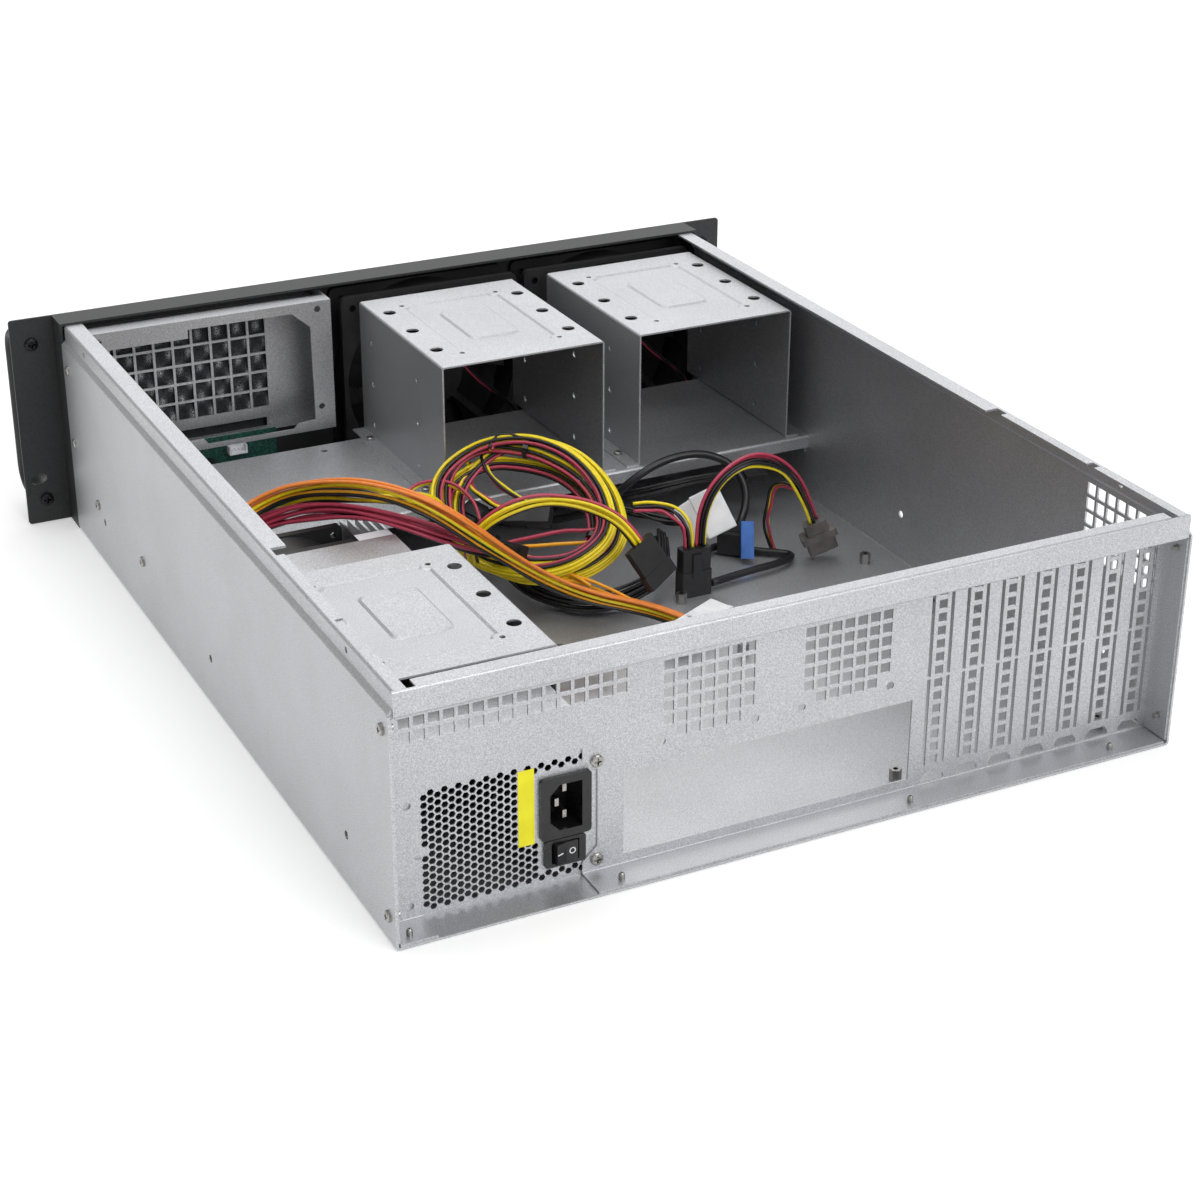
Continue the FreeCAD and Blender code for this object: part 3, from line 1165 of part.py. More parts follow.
MOLEX_PLUG = (20.0, 9.0, 30.0)
MOLEX_PLACE = (-79.0, 265.0)
x, distance = MOLEX_PLACE
molex_top = FLOOR + MOLEX_PLUG[2]
molex_start = route_points([(x, distance, molex_top)])[0]
save("molex_plug", [along(molex_start, (0, 0, -1), (0, 1, 0), *MOLEX_PLUG)])
lead("molex_lead", 4.0, [
    (-49.4, 284.7, 53.9), (-58, 280.5, 55), (-67, 275, 54), (-73, 269, 49), (-75.5, 265, 41),
    (-75.5, 265, molex_top + TOUCH)])
route = [
    (-83, 265, molex_top + TOUCH), (-83, 265, 41), (-85, 265.5, 53), (-91, 266, 65), (-102, 267, 74),
    (-117, 268, 78), (-133, 270, 73), (-147, 271, 61), (-157, 272, 45), (-164, 273, 28)]
lead("arch_lead", 5.0, route)
save("header_plug", [plug_at(route, (0.3, 1, 0), (22.0, 9.0, 22.0))])

board_start = BOARD_FACE - TOUCH
route = [
    (128, board_start, 28), (128, 502, 28), (124, 483, 19), (109, 463, 10), (84, 446, 7),
    (52, 431, 6), (16, 418, 6), (-18, 401, 6), (-44, 381, 9), (-60, 365, 17),
    (-70, 353, 28), (-81, 348, 40), (-96, 347, 48), (-113, 347, 51), (-130, 346, 50),
    (-145, 341, 43), (-151, 333, 32), (-148, 325, 21), (-140, 318, 12.5), (-131, 308, 11)]
lead("usb_lead", 4.0, route)
save("usb_plug", [plug_at(route, (0, 0, 1), (18.0, 15.0, 12.0))])

route = [
    (152, board_start, 28), (152, 502, 28), (149, 488, 18), (134, 478, 9), (104, 472, 6.5),
    (68, 461, 6), (28, 447, 6), (-12, 431, 6), (-42, 409, 9), (-66, 385, 15),
    (-88, 364, 22), (-112, 357, 27), (-136, 356, 29), (-160, 353, 28)]
lead("panel_lead", 6.0, route)
save("pin_plugs", [plug_at(route, (0, 0, 1), (16.0, 5.0, 14.0))])

fan_plugs = []
for number, fan_x in enumerate(FAN_CENTRES, 1):
    x = fan_x + 1.0
    fan_back = REAR - PANEL_BACK - FAN_DEPTH
    route = [
        (x - 12, fan_back - 1.0, 76), (x - 17, 503, 73), (x - 28, 501, 62), (x - 42, 501, 48),
        (x - 55, 500, 33), (x - 61, 496, 19), (x - 58, 486, 9), (x - 48, 470, 5), (x - 34, 454, 4),
        (x - 18, 440, 4)]
    lead(f"fan_lead_{number}", 3.0, route)
    fan_plugs.append(plug_at(route, (0, 0, 1), (8.0, 5.0, 12.0)))
save("fan_plugs", fan_plugs)
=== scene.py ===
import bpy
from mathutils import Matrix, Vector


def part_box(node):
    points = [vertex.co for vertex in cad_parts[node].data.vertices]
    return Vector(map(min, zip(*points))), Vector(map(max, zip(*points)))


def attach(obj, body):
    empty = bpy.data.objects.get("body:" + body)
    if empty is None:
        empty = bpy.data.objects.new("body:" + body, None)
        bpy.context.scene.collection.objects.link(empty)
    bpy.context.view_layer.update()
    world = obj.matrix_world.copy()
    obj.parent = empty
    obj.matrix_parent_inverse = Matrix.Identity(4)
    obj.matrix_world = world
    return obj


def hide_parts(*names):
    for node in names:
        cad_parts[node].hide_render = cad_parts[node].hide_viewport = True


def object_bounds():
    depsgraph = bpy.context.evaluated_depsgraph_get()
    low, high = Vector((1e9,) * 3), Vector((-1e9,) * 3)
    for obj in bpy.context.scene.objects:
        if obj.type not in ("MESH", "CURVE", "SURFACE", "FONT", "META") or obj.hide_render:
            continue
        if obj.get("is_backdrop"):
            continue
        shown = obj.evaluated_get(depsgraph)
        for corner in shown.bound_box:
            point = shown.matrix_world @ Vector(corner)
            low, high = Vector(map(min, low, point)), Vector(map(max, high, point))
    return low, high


bl_info = {
    "name": "Rack Case Dresser",
    "version": (1, 0, 0),
    "blender": (4, 5, 0),
    "location": "3D View > Sidebar > Rack Case",
    "description": "Dresses an open rackmount case: finishes, looms, plugs, perforated plates and a studio",
    "category": "Object",
}

import math
from typing import NamedTuple

import bpy
import numpy as np
from mathutils import Matrix, Vector, geometry
from mathutils.bvhtree import BVHTree

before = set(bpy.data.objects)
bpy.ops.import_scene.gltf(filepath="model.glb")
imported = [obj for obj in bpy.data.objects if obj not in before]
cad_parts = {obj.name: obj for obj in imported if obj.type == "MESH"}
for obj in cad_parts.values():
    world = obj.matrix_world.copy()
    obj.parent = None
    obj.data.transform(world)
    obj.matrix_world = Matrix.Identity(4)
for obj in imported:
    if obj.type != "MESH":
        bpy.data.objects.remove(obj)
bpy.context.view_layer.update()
MM = 0.001
# The case's rear edge, which the routes below are counted from.
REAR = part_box("chassis_tray")[1].y
TAU = 2 * math.pi
UP = (0, 0, 1)


# ------------------------------------------------------------------ small tools
def linear(code):
    """Linear colour of an sRGB hex code: c / 12.92 near black, else ((c + 0.055) / 1.055) ** 2.4."""
    values = [int(code[k : k + 2], 16) / 255 for k in (1, 3, 5)]
    return tuple(v / 12.92 if v <= 0.04045 else ((v + 0.055) / 1.055) ** 2.4 for v in values) + (1.0,)


def output_of(source):
    """A socket as it is, or a node's first output in use."""
    return next(s for s in source.outputs if s.enabled) if isinstance(source, bpy.types.Node) else source


def add(tree, kind, links=None, stops=(), **settings):
    """Adds one node. Settings are attributes or, where the name is an input's, its value. Links feed
    inputs from nodes and sockets or hold a plain value. Stops are a ramp's positions, each with a hex code
    or a grey."""
    made = tree.nodes.new("ShaderNode" + kind)
    for name, value in settings.items():
        if hasattr(made, name):
            setattr(made, name, value)
        else:
            made.inputs[name.replace("_", " ")].default_value = value
    for name, source in (links or {}).items():
        if isinstance(source, (bpy.types.Node, bpy.types.NodeSocket)):
            tree.links.new(output_of(source), made.inputs[name])
        else:
            made.inputs[name].default_value = source
    for _ in stops[2:]:
        made.color_ramp.elements.new(0.5)
    for number, (position, colour) in enumerate(stops):
        point = made.color_ramp.elements[number]
        point.position = position
        point.color = linear(colour) if isinstance(colour, str) else (colour, colour, colour, 1.0)
    return made


def surface(name, **plain):
    """A material with one Principled shader, whose sockets take the plain values, its tree, and a node that
    gives Object coordinates in millimetres."""
    made = bpy.data.materials.new(name)
    made.use_nodes = True
    tree = made.node_tree
    for socket, value in plain.items():
        tree.nodes["Principled BSDF"].inputs[socket.replace("_", " ")].default_value = value
    place = add(tree, "TexCoord").outputs["Object"]
    return made, tree, add(tree, "VectorMath", {0: place, "Scale": 1 / MM}, operation="SCALE")


def dressed(made, **fields):
    """Feeds these nodes to the shader's sockets and gives the material back."""
    for socket, source in fields.items():
        shader = made.node_tree.nodes["Principled BSDF"]
        made.node_tree.links.new(output_of(source), shader.inputs[socket.replace("_", " ")])
    return made


def unit(vectors):
    """Vectors at a length of 1."""
    vectors = np.asarray(vectors, float)
    return vectors / np.linalg.norm(vectors, axis=-1, keepdims=True)


def spot(x, distance, z):
    """Place in metres of millimetres across, in front of the rear edge and up."""
    return np.array([x, REAR / MM - distance, z]) * MM


def corners_of(node):
    """Both corners of a CAD node's box in millimetres."""
    return [np.array(corner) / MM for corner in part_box(node)]


def quads(rows, columns, around=False):
    """Faces of a grid of rows by columns of points: (i, j), (i, j + 1), (i + 1, j + 1), (i + 1, j)."""
    i, j = np.meshgrid(np.arange(rows - 1), np.arange(columns if around else columns - 1), indexing="ij")
    k = (j + 1) % columns
    faces = [i * columns + j, i * columns + k, (i + 1) * columns + k, (i + 1) * columns + j]
    return np.stack(faces, axis=-1).reshape(-1, 4)


def piece(name, points, faces, finish, slot, body="case", smooth=False, tints=None, node=None):
    """Mesh object at the origin from points in metres and faces, in a CAD node's stead where one is named."""
    mesh = bpy.data.meshes.new(name)
    rows = faces.tolist() if isinstance(faces, np.ndarray) else faces
    mesh.from_pydata(np.asarray(points, float).reshape(-1, 3).tolist(), [], rows)
    mesh.validate()
    if smooth:
        mesh.polygons.foreach_set("use_smooth", np.ones(len(mesh.polygons), bool))
    if tints is not None:
        layer = mesh.color_attributes.new("tint", "FLOAT_COLOR", "POINT")
        layer.data.foreach_set("color", np.asarray(tints, np.float32).ravel())
    made = bpy.data.objects.new(name, mesh)
    bpy.context.scene.collection.objects.link(made)
    mesh.materials.append(FINISHES[finish])
    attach(made, body)
    if node:
        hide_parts(node)
    return made


def joined(parts):
    """Several (points, faces) as one, with faces of any size."""
    starts = np.cumsum([0] + [len(points) for points, _ in parts]).tolist()
    faces = [[int(v) + start for v in row] for (_, rows), start in zip(parts, starts) for row in rows]
    return np.concatenate([points for points, _ in parts]), faces


def line_of(points):
    """Smooth line through space: a NURBS spline of order 3 with these control points, as Blender draws it."""
    curve = bpy.data.curves.new("line", "CURVE")
    curve.dimensions = "3D"
    curve.resolution_u = 10
    spline = curve.splines.new("NURBS")
    spline.points.add(len(points) - 1)
    spline.points.foreach_set("co", np.column_stack([points, np.ones(len(points))]).ravel())
    spline.order_u = 3
    spline.use_endpoint_u = True
    holder = bpy.data.objects.new("line", curve)
    drawn = bpy.data.meshes.new_from_object(holder)
    found = np.empty(len(drawn.vertices) * 3)
    drawn.vertices.foreach_get("co", found)
    bpy.data.meshes.remove(drawn)
    bpy.data.objects.remove(holder)
    bpy.data.curves.remove(curve)
    return found.reshape(-1, 3)


def directions(line):
    """Side and rise at each point of a line: side is square to the line's way and to its flattest direction,
    and rise is square to side and way."""
    way = unit(np.gradient(line, axis=0))
    side = unit(np.cross(way, np.linalg.svd(line - line.mean(0))[2][2]))
    return side, np.cross(side, way)


# ------------------------------------------------------------------ finishes
GRAIN = 0.3, 0.7            # where a noise's dark and light grains begin


def galvanised_steel(name, tone, rough, grain_mm=0.55, crystal_mm=2.6, cloud_mm=60):
    """Hot-dip galvanised sheet, skin-passed in the mill: an even pale grey of fine, barely seen
    crystals, with a soft broad sheen that brightens where the sheet faces the light."""
    made, tree, where = surface(name, Metallic=0.80)
    fine = add(tree, "TexNoise", {"Vector": where}, Scale=1 / grain_mm, Detail=3.0, Roughness=0.7)
    patch = add(tree, "TexVoronoi", {"Vector": where}, Scale=1 / crystal_mm)
    cloud = add(tree, "TexNoise", {"Vector": where}, Scale=1 / cloud_mm, Detail=2.0)
    speck = add(tree, "ValToRGB", {"Fac": fine}, [*zip(GRAIN, reversed(tone))])
    wide = add(tree, "ValToRGB", {"Fac": cloud}, [(0.35, 0.93), (0.65, 1.0)])
    colour = add(tree, "Mix", {"A": speck, "B": wide, "Factor": 1.0}, data_type="RGBA", blend_type="MULTIPLY")
    spread = {"Value": patch, "From Max": 1.2, "To Min": rough - 0.04, "To Max": rough + 0.05}
    sheen = add(tree, "MapRange", spread)
    relief = add(tree, "Bump", {"Height": fine}, Strength=0.6, Distance=0.012 * MM)
    return dressed(made, Base_Color=colour, Roughness=sheen, Normal=relief)


def powder_coat(name, tone, pimple_mm=0.5):
    """Fine-textured polyester powder coat, baked: a dull dark film whose small
    pimples break every highlight into grains."""
    made, tree, where = surface(name)
    grain = add(tree, "TexNoise", {"Vector": where}, Scale=1 / pimple_mm, Detail=2.0, Roughness=0.6)
    colour = add(tree, "ValToRGB", {"Fac": grain}, [(0.35, tone[1]), (0.65, tone[0])])
    sheen = add(tree, "ValToRGB", {"Fac": grain}, [*zip(GRAIN, (0.62, 0.46))])
    relief = add(tree, "Bump", {"Height": grain}, Strength=0.7, Distance=0.05 * MM)
    return dressed(made, Base_Color=colour, Roughness=sheen, Normal=relief)


def moulded_plastic(name, tone, rough, spark_mm=0.25, depth_mm=0.02, flow_mm=9):
    """Moulded thermoplastic from an eroded tool: one colour right through,
    with a faint spark texture that dulls its highlights unevenly."""
    made, tree, where = surface(name)
    spark = add(tree, "TexNoise", {"Vector": where}, Scale=1 / spark_mm, Detail=2.0)
    flow = add(tree, "TexNoise", {"Vector": where}, Scale=1 / flow_mm, Detail=1.0)
    colour = add(tree, "ValToRGB", {"Fac": flow}, [*zip(GRAIN, reversed(tone))])
    sheen = add(tree, "ValToRGB", {"Fac": flow}, [*zip(GRAIN, (rough + 0.06, rough - 0.04))])
    relief = add(tree, "Bump", {"Height": spark}, Strength=0.5, Distance=depth_mm * MM)
    return dressed(made, Base_Color=colour, Roughness=sheen, Normal=relief)


def wire_insulation(name, rough=0.3, dust_mm=4):
    """Extruded PVC insulation: a soft smooth gloss over each wire's own colour,
    with slight dust and die marks along it."""
    made, tree, where = surface(name)
    tint = add(tree, "Attribute", attribute_name="tint").outputs["Color"]
    dust = add(tree, "TexNoise", {"Vector": where}, Scale=1 / dust_mm, Detail=3.0)
    shade = add(tree, "ValToRGB", {"Fac": dust}, [*zip(GRAIN, (0.86, 1.0))])
    colour = add(tree, "Mix", {"A": tint, "B": shade, "Factor": 1.0}, data_type="RGBA", blend_type="MULTIPLY")
    sheen = add(tree, "ValToRGB", {"Fac": dust}, [*zip(GRAIN, (rough + 0.1, rough))])
    relief = add(tree, "Bump", {"Height": dust}, Strength=0.4, Distance=0.02 * MM)
    return dressed(made, Base_Color=colour, Roughness=sheen, Normal=relief)


def plated_steel(name, tone, rough, grain_mm=0.4):
    """Nickel or zinc plate on turned steel: bright, with a faint turned grain."""
    made, tree, where = surface(name, Metallic=1.0)
    grain = add(tree, "TexNoise", {"Vector": where}, Scale=1 / grain_mm, Detail=2.0)
    colour = add(tree, "ValToRGB", {"Fac": grain}, [*zip(GRAIN, reversed(tone))])
    sheen = add(tree, "ValToRGB", {"Fac": grain}, [*zip(GRAIN, (rough + 0.1, rough))])
    relief = add(tree, "Bump", {"Height": grain}, Strength=0.5, Distance=0.01 * MM)
    return dressed(made, Base_Color=colour, Roughness=sheen, Normal=relief)


def open_foam(name, cell_mm=1.1):
    """Reticulated polyurethane foam: black open cells that let little light back, with a highlight painted
    pale on the crests of its egg-crate face."""
    made, tree, where = surface(name)
    crest = add(tree, "Attribute", attribute_name="tint").outputs["Fac"]
    cells = add(tree, "TexVoronoi", {"Vector": where}, Scale=1 / cell_mm, feature="DISTANCE_TO_EDGE")
    # Painted highlight: pale cell edges, laid on the crests alone by the tint.
    painted_crest_highlight = add(tree, "ValToRGB", {"Fac": cells}, [(0.0, "#D8DADC"), (0.12, "#7C7F82"), (0.3, "#2A2B2D")])
    deep = add(tree, "ValToRGB", {"Fac": cells}, [(0.0, "#3A3C3E"), (0.10, "#202224"), (0.3, "#101112")])
    colour = add(tree, "Mix", {"Factor": crest, "A": deep, "B": painted_crest_highlight}, data_type="RGBA")
    sheen = add(tree, "ValToRGB", {"Fac": cells}, [(0.0, 0.55), (0.3, 0.95)])
    relief = add(tree, "Bump", {"Height": cells}, Strength=0.8, Distance=0.5 * MM)
    return dressed(made, Base_Color=colour, Roughness=sheen, Normal=relief)


def solder_mask(name, track_mm=2.4):
    """Glass-epoxy board under green solder mask: glossy film over fine copper tracks that
    show as paler lines."""
    made, tree, where = surface(name, Coat_Weight=0.3, Coat_Roughness=0.1)
    tracks = add(
        tree, "TexVoronoi", {"Vector": where}, Scale=1 / track_mm, distance="MANHATTAN",
        feature="DISTANCE_TO_EDGE")
    colour = add(tree, "ValToRGB", {"Fac": tracks}, [(0.0, "#33705F"), (0.05, "#1F5145"), (0.09, "#143B33")])
    sheen = add(tree, "ValToRGB", {"Fac": tracks}, [(0.0, 0.3), (0.2, 0.42)])
    relief = add(tree, "Bump", {"Height": tracks}, Strength=0.3, Distance=0.04 * MM)
    return dressed(made, Base_Color=colour, Roughness=sheen, Normal=relief)


def printed_film(name, tone):
    """Self-adhesive vinyl label, blank: flat even ink under a faintly uneven gloss."""
    return moulded_plastic(name, tone, 0.38, 2.0, 0.01)


FINISHES = {}


def make_finishes():
    """All materials of the case, by their names."""
    looks = bpy.context.scene.case_looks
    zinc = (looks.steel_light, looks.steel_dark)
    FINISHES.update(
        steel=galvanised_steel("galvanised_sheet_steel", zinc, 0.45),
        screws=plated_steel("nickel_plated_steel", ("#B9B8B4", "#8E8C88"), 0.24),
        black_screws=plated_steel("blackened_steel", ("#3A3A3C", "#232324"), 0.36),
        coat=powder_coat("black_powder_coat", ("#2A2B2D", "#1C1D1E")),
        black=moulded_plastic("black_pbt_moulded", ("#1E1E20", "#151516"), 0.48),
        gloss=moulded_plastic("black_nylon_gloss", ("#1B1B1D", "#121213"), 0.26, 0.6, 0.008),
        white=moulded_plastic("white_nylon_moulded", ("#EDEEF0", "#DCDEE2"), 0.42),
        blue=moulded_plastic("blue_pbt_moulded", ("#3F74C4", "#2F5EA8"), 0.40),
        grey=moulded_plastic("grey_nylon_moulded", ("#6A6561", "#534F4C"), 0.46),
        lens=moulded_plastic("clear_acrylic_lens", ("#D5DBD8", "#BFC8C4"), 0.15, 0.8, 0.004),
        foam=open_foam("reticulated_polyurethane_foam"),
        board=solder_mask("green_solder_mask_board"),
        brass=plated_steel("tin_plated_brass", ("#D8C48A", "#B79C5A"), 0.28),
        fins=plated_steel("extruded_aluminium", ("#D2D3D5", "#A9ABAE"), 0.38),
        wire=wire_insulation("pvc_wire_insulation"),
        label=printed_film("yellow_vinyl_label", ("#F2EA12", "#E6DC0A")),
        dark_label=printed_film("black_vinyl_label", ("#1F2022", "#17181A")),
        plain_label=printed_film("white_vinyl_label", ("#E9EAEC", "#DCDDE0")),
    )


# Which finish each CAD node takes.
NODE_FINISH = {
    "steel": "chassis_tray rear_pan drive_shelf drive_cage_1 drive_cage_2 psu_bracket psu_frame front_grille"
    " psu_base psu_cover",
    "screws": "wall_screws ledge_screws cage_screws psu_screws usb_sockets inlet_pins standoffs",
    "black_screws": "handle_screws",
    "coat": "front_panel handle_left handle_right",
    "black": "switch_bodies fan_frame_1 fan_frame_2 fan_rotor_1 fan_rotor_2 psu_fan_frame psu_fan_rotor"
    " lead_bushing drive_plug sata_plug molex_plug usb_plug pin_plugs",
    "gloss": "power_button reset_button mains_inlet rocker_housing rocker",
    "white": "board_header atx_plug fan_plugs",
    "lens": "status_lights",
    "grey": "header_plug",
    "foam": "filter_foam",
    "board": "front_board",
    "brass": "board_posts",
    "fins": "psu_fins",
    "label": "psu_sticker",
    "wire": "lead_coil supply_lead_1 supply_lead_2 supply_lead_3 drive_lead molex_lead arch_lead usb_lead"
    " panel_lead fan_lead_1 fan_lead_2",
}


# ------------------------------------------------------------------ wires, looms and plugs
# Wire colours by the letters that the looms use.
INK = {
    "y": "#F4DC1C", "o": "#F08A34", "r": "#B83E58", "k": "#1C1B1D", "a": "#F6AE22", "g": "#2F6E5C",
    "w": "#E4E4E2",
}
WIRE_SIDES = 7              # of a wire's round section
WIRE_GAP = 0.15             # mm between neighbours
CORNER_POINTS = 4           # round each corner of a plug


class Loom(NamedTuple):
    """Wires laid side by side: the colour of each, from the highest down, and sizes in millimetres."""

    wires: str
    wire: float             # thickness of each wire
    thick: float            # thickness of the whole
    flat: float             # 1 is round, less is wider than high
    twist: float = 0.0      # turns along its length
    phase: float = 0.0
    stiffness: str = "medium"
    route: list = []        # (x, distance in front of the rear edge, z)


def bundle(line, plan, loose, centre=None):
    """Wires of a plan laid round a line, in the order of its colours from the highest down, or from the
    outermost in, where centre is the middle of a ring. The places are close-packed, made flatter by flat,
    turn by twist along the line, and open by 1 + loose sin^2 in the middle."""
    side, rise = directions(line)
    if centre is None:
        upper, across = (side, rise) if abs(side[:, 2].mean()) > abs(rise[:, 2].mean()) else (rise, side)
        upper = upper * np.sign(upper[:, 2].mean())
    else:
        upper, across = side * np.sign(((line - centre) * side).sum(1).mean()), rise
    part = np.concatenate([[0.0], np.cumsum(np.linalg.norm(np.diff(line, axis=0), axis=1))])
    part /= part[-1]
    pitch = (plan.wire + WIRE_GAP) * MM
    # One wire in the middle, six round it and five more outside those.
    number = np.arange(len(plan.wires))
    ring = np.select([number == 0, number < 7], [0.0, 1.0], 1.85)
    angle = np.where(number < 7, (number - 1) * TAU / 6, (number - 7) * TAU / 5 + 0.5) + plan.phase
    a, b = ring * np.cos(angle) * pitch / plan.flat, ring * np.sin(angle) * pitch * plan.flat
    order = np.argsort(-a)
    middle = np.sin(np.pi * part)
    swell = 1 + loose * middle ** 2 * (0.6 + 0.4 * np.sin(TAU * 2.3 * part + plan.phase))
    beat = number[:, None]
    wave = 0.22 * pitch * np.sin(TAU * (1.6 + 0.37 * beat) * part[None] + 2.4 * beat + plan.phase)
    a = a[order, None] * swell + wave * middle
    b = b[order, None] * swell - wave * middle
    turn = plan.twist * TAU * part
    x, y = a * np.cos(turn) - b * np.sin(turn), a * np.sin(turn) + b * np.cos(turn)
    # No wire strays further than 0.65 of the loom's thickness and 2 mm from its middle.
    held = np.minimum(1.0, (0.65 * plan.thick + 1.7 - plan.wire / 2) * MM / np.maximum(np.hypot(x, y), 1e-9))
    middles = line[None] + (x * held)[..., None] * upper[None] + (y * held)[..., None] * across[None]
    around = (np.arange(WIRE_SIDES) * TAU / WIRE_SIDES)[:, None]
    spoke = np.cos(around) * side[:, None] + np.sin(around) * rise[:, None]
    rings = middles[:, :, None] + plan.wire / 2 * MM * spoke[None]
    ends = [np.repeat(middles[:, k:k + 1, None], WIRE_SIDES, 2) for k in (0, len(line) - 1)]
    points = np.concatenate([ends[0], rings, ends[1]], axis=1)
    one = quads(len(line) + 2, WIRE_SIDES, True)[:, ::-1]
    size = (len(line) + 2) * WIRE_SIDES
    faces = (one[None] + (number * size)[:, None, None]).reshape(-1, 4)
    tints = np.repeat(np.array([linear(INK[w]) for w in plan.wires]), size, axis=0)
    return points.reshape(-1, 3), faces, tints


def lay_wires(name, line, plan, loose=0.35, node=None, centre=None):
    """Wires of a plan along a line as one piece."""
    points, faces, tints = bundle(line, plan, loose, centre)
    return piece(name, points, faces, "wire", "wire_mixed", smooth=True, tints=tints, node=node)


def lay_loom(name, plugs):
    """A loom along its own route; plugs is not used."""
    plan = LOOMS[name]
    line = line_of(np.array([spot(*place) for place in plan.route]))
    lay_wires(name + "_wires", line, plan, node=name)


def section(width, height, corner):
    """Rounded rectangle as points round it: each corner's centre plus its radius along an arc, in the order
    of the angle."""
    quarter = np.linspace(0, TAU / 4, CORNER_POINTS)
    angle = (np.arange(4)[:, None] * TAU / 4 + quarter[None]).ravel()
    sign = np.array([[1, 1], [-1, 1], [-1, -1], [1, -1]]).repeat(CORNER_POINTS, axis=0)
    middle = sign * np.array([width / 2 - corner, height / 2 - corner])
    return middle + corner * np.stack([np.cos(angle), np.sin(angle)], axis=1)


def turned(start, way, up, rings, shift=(0, 0, 0)):
    """Body carried along a way, closed at both ends, from a start shifted sideways, up and along by
    millimetres: rings of (distance, width, height, corner, lift) in millimetres. A pair of distances is a
    straight run, and the lift may be left out."""
    way = unit(way)
    side = unit(np.cross(up, way))
    rise = np.cross(way, side)
    start = start + np.array(shift) @ np.stack([side, rise, way]) * MM
    rows = []
    for distances, width, height, corner, *lift in rings:
        flat = section(width, height, corner) * MM
        for distance in np.atleast_1d(distances):
            middle = start + (way * distance + rise * sum(lift)) * MM
            rows.append(middle + flat[:, :1] * side + flat[:, 1:] * rise)
    size = 4 * CORNER_POINTS
    first, last = (np.repeat(row.mean(0)[None], size, 0) for row in (rows[0], rows[-1]))
    return np.concatenate([first] + rows + [last]), quads(len(rows) + 2, size, True)


def plug(lead, name, node, up, finish, slot, rings, latch=None):
    """Plug on the end of a lead: a body carried along its last run, and a latch of (shift, rings) on it."""
    before, start = (spot(*place) for place in LOOMS[lead].route[-2:])
    parts = [turned(start, start - before, up, rings, (0, 0, PLUG_GAP))]
    if latch:
        parts.append(turned(start, start - before, up, latch[1], latch[0]))
    return piece(name, *joined(parts), finish, slot, node=node)


# The looms that take the place of CAD leads of the same names.
LOOMS = {
    "supply_lead_1": Loom("oooyoyagk", 2.1, 7, 0.66, 0.04, 0.4, "medium", route=[
        (200, 288.7, 56), (200, 298, 56), (195, 316, 60), (182, 331, 65), (163, 339, 72), (144, 332, 82),
        (129, 312, 91), (114, 291, 96), (97, 273, 94), (80, 264, 85), (61, 261, 69), (39, 262, 49),
        (16, 258, 32), (-7, 253, 20), (-28, 245, 14), (-42, 234, 11), (-49, 220, 10)]),
    "supply_lead_2": Loom("rrrrrrrkk", 2.3, 7, 0.66, 0.04, 1.3, "medium", route=[
        (200, 288.7, 44), (200, 299, 44), (195, 318, 48), (182, 334, 52), (165, 341, 59), (146, 332, 68),
        (130, 312, 77), (113, 291, 80), (94, 275, 77), (73, 271, 66), (54, 276, 54), (38, 286, 45)]),
    "supply_lead_3": Loom("yyygykk", 2.1, 6, 0.7, 0.05, 0.9, "medium", route=[
        (200, 288.7, 32), (200, 300, 32), (196, 322, 35), (185, 341, 41), (170, 352, 51), (152, 349, 64),
        (139, 332, 77), (126, 313, 85), (109, 296, 87), (90, 292, 83), (72, 298, 76), (60, 306, 65),
        (52.6, 315.8, 54), (46.9, 324.1, 47.3)]),
    "drive_lead": Loom("ryyykk", 2.0, 5, 0.75, 0.0, 2.2, "limp", route=[
        (45.0, 299.8, 31.9), (50, 292.5, 42), (51, 286, 53), (45, 281, 64), (32, 277, 72), (16, 275, 75),
        (-1, 270, 73), (-17, 262, 68), (-29, 255, 59), (-35, 251, 48)]),
    "molex_lead": Loom("ykkrr", 1.9, 4, 0.8, 0.0, 0.7, "limp", route=[
        (-49.4, 284.7, 53.9), (-58, 280.5, 55), (-67, 275, 54), (-73, 269, 49), (-75.5, 265, 41),
        (-75.5, 265, 31.5)]),
    "arch_lead": Loom("rrkkky", 2.0, 5, 0.8, 0.0, 0.2, "limp", route=[
        (-83, 265, 31.5), (-83, 265, 41), (-85, 265.5, 53), (-91, 266, 65), (-102, 267, 74),
        (-117, 268, 78), (-133, 270, 73), (-147, 271, 61), (-157, 272, 45), (-164, 273, 28)]),
    "usb_lead": Loom("k", 5.0, 4, 1.0, 0, 0, "medium", route=[
        (128, 517.7, 28), (128, 502, 28), (124, 483, 19), (109, 463, 10), (84, 446, 7), (52, 431, 6),
        (16, 418, 6), (-18, 401, 6), (-44, 381, 9), (-60, 365, 17), (-70, 353, 28), (-81, 348, 40),
        (-96, 347, 48), (-113, 347, 51), (-130, 346, 50), (-145, 341, 43), (-151, 333, 32), (-148, 325, 21),
        (-140, 318, 12.5), (-131, 308, 11)]),
    "panel_lead": Loom("kkkkkkkkkkk", 1.35, 6, 0.55, 0.5, 0.5, "limp", route=[
        (152, 517.7, 28), (152, 502, 28), (149, 488, 18), (134, 478, 9), (104, 472, 6.5), (68, 461, 6),
        (28, 447, 6), (-12, 431, 6), (-42, 409, 9), (-66, 385, 15), (-88, 364, 22), (-112, 357, 27),
        (-136, 356, 29), (-160, 353, 28)]),
}
PLUG_GAP = 0.3              # mm from a lead's end to its plug
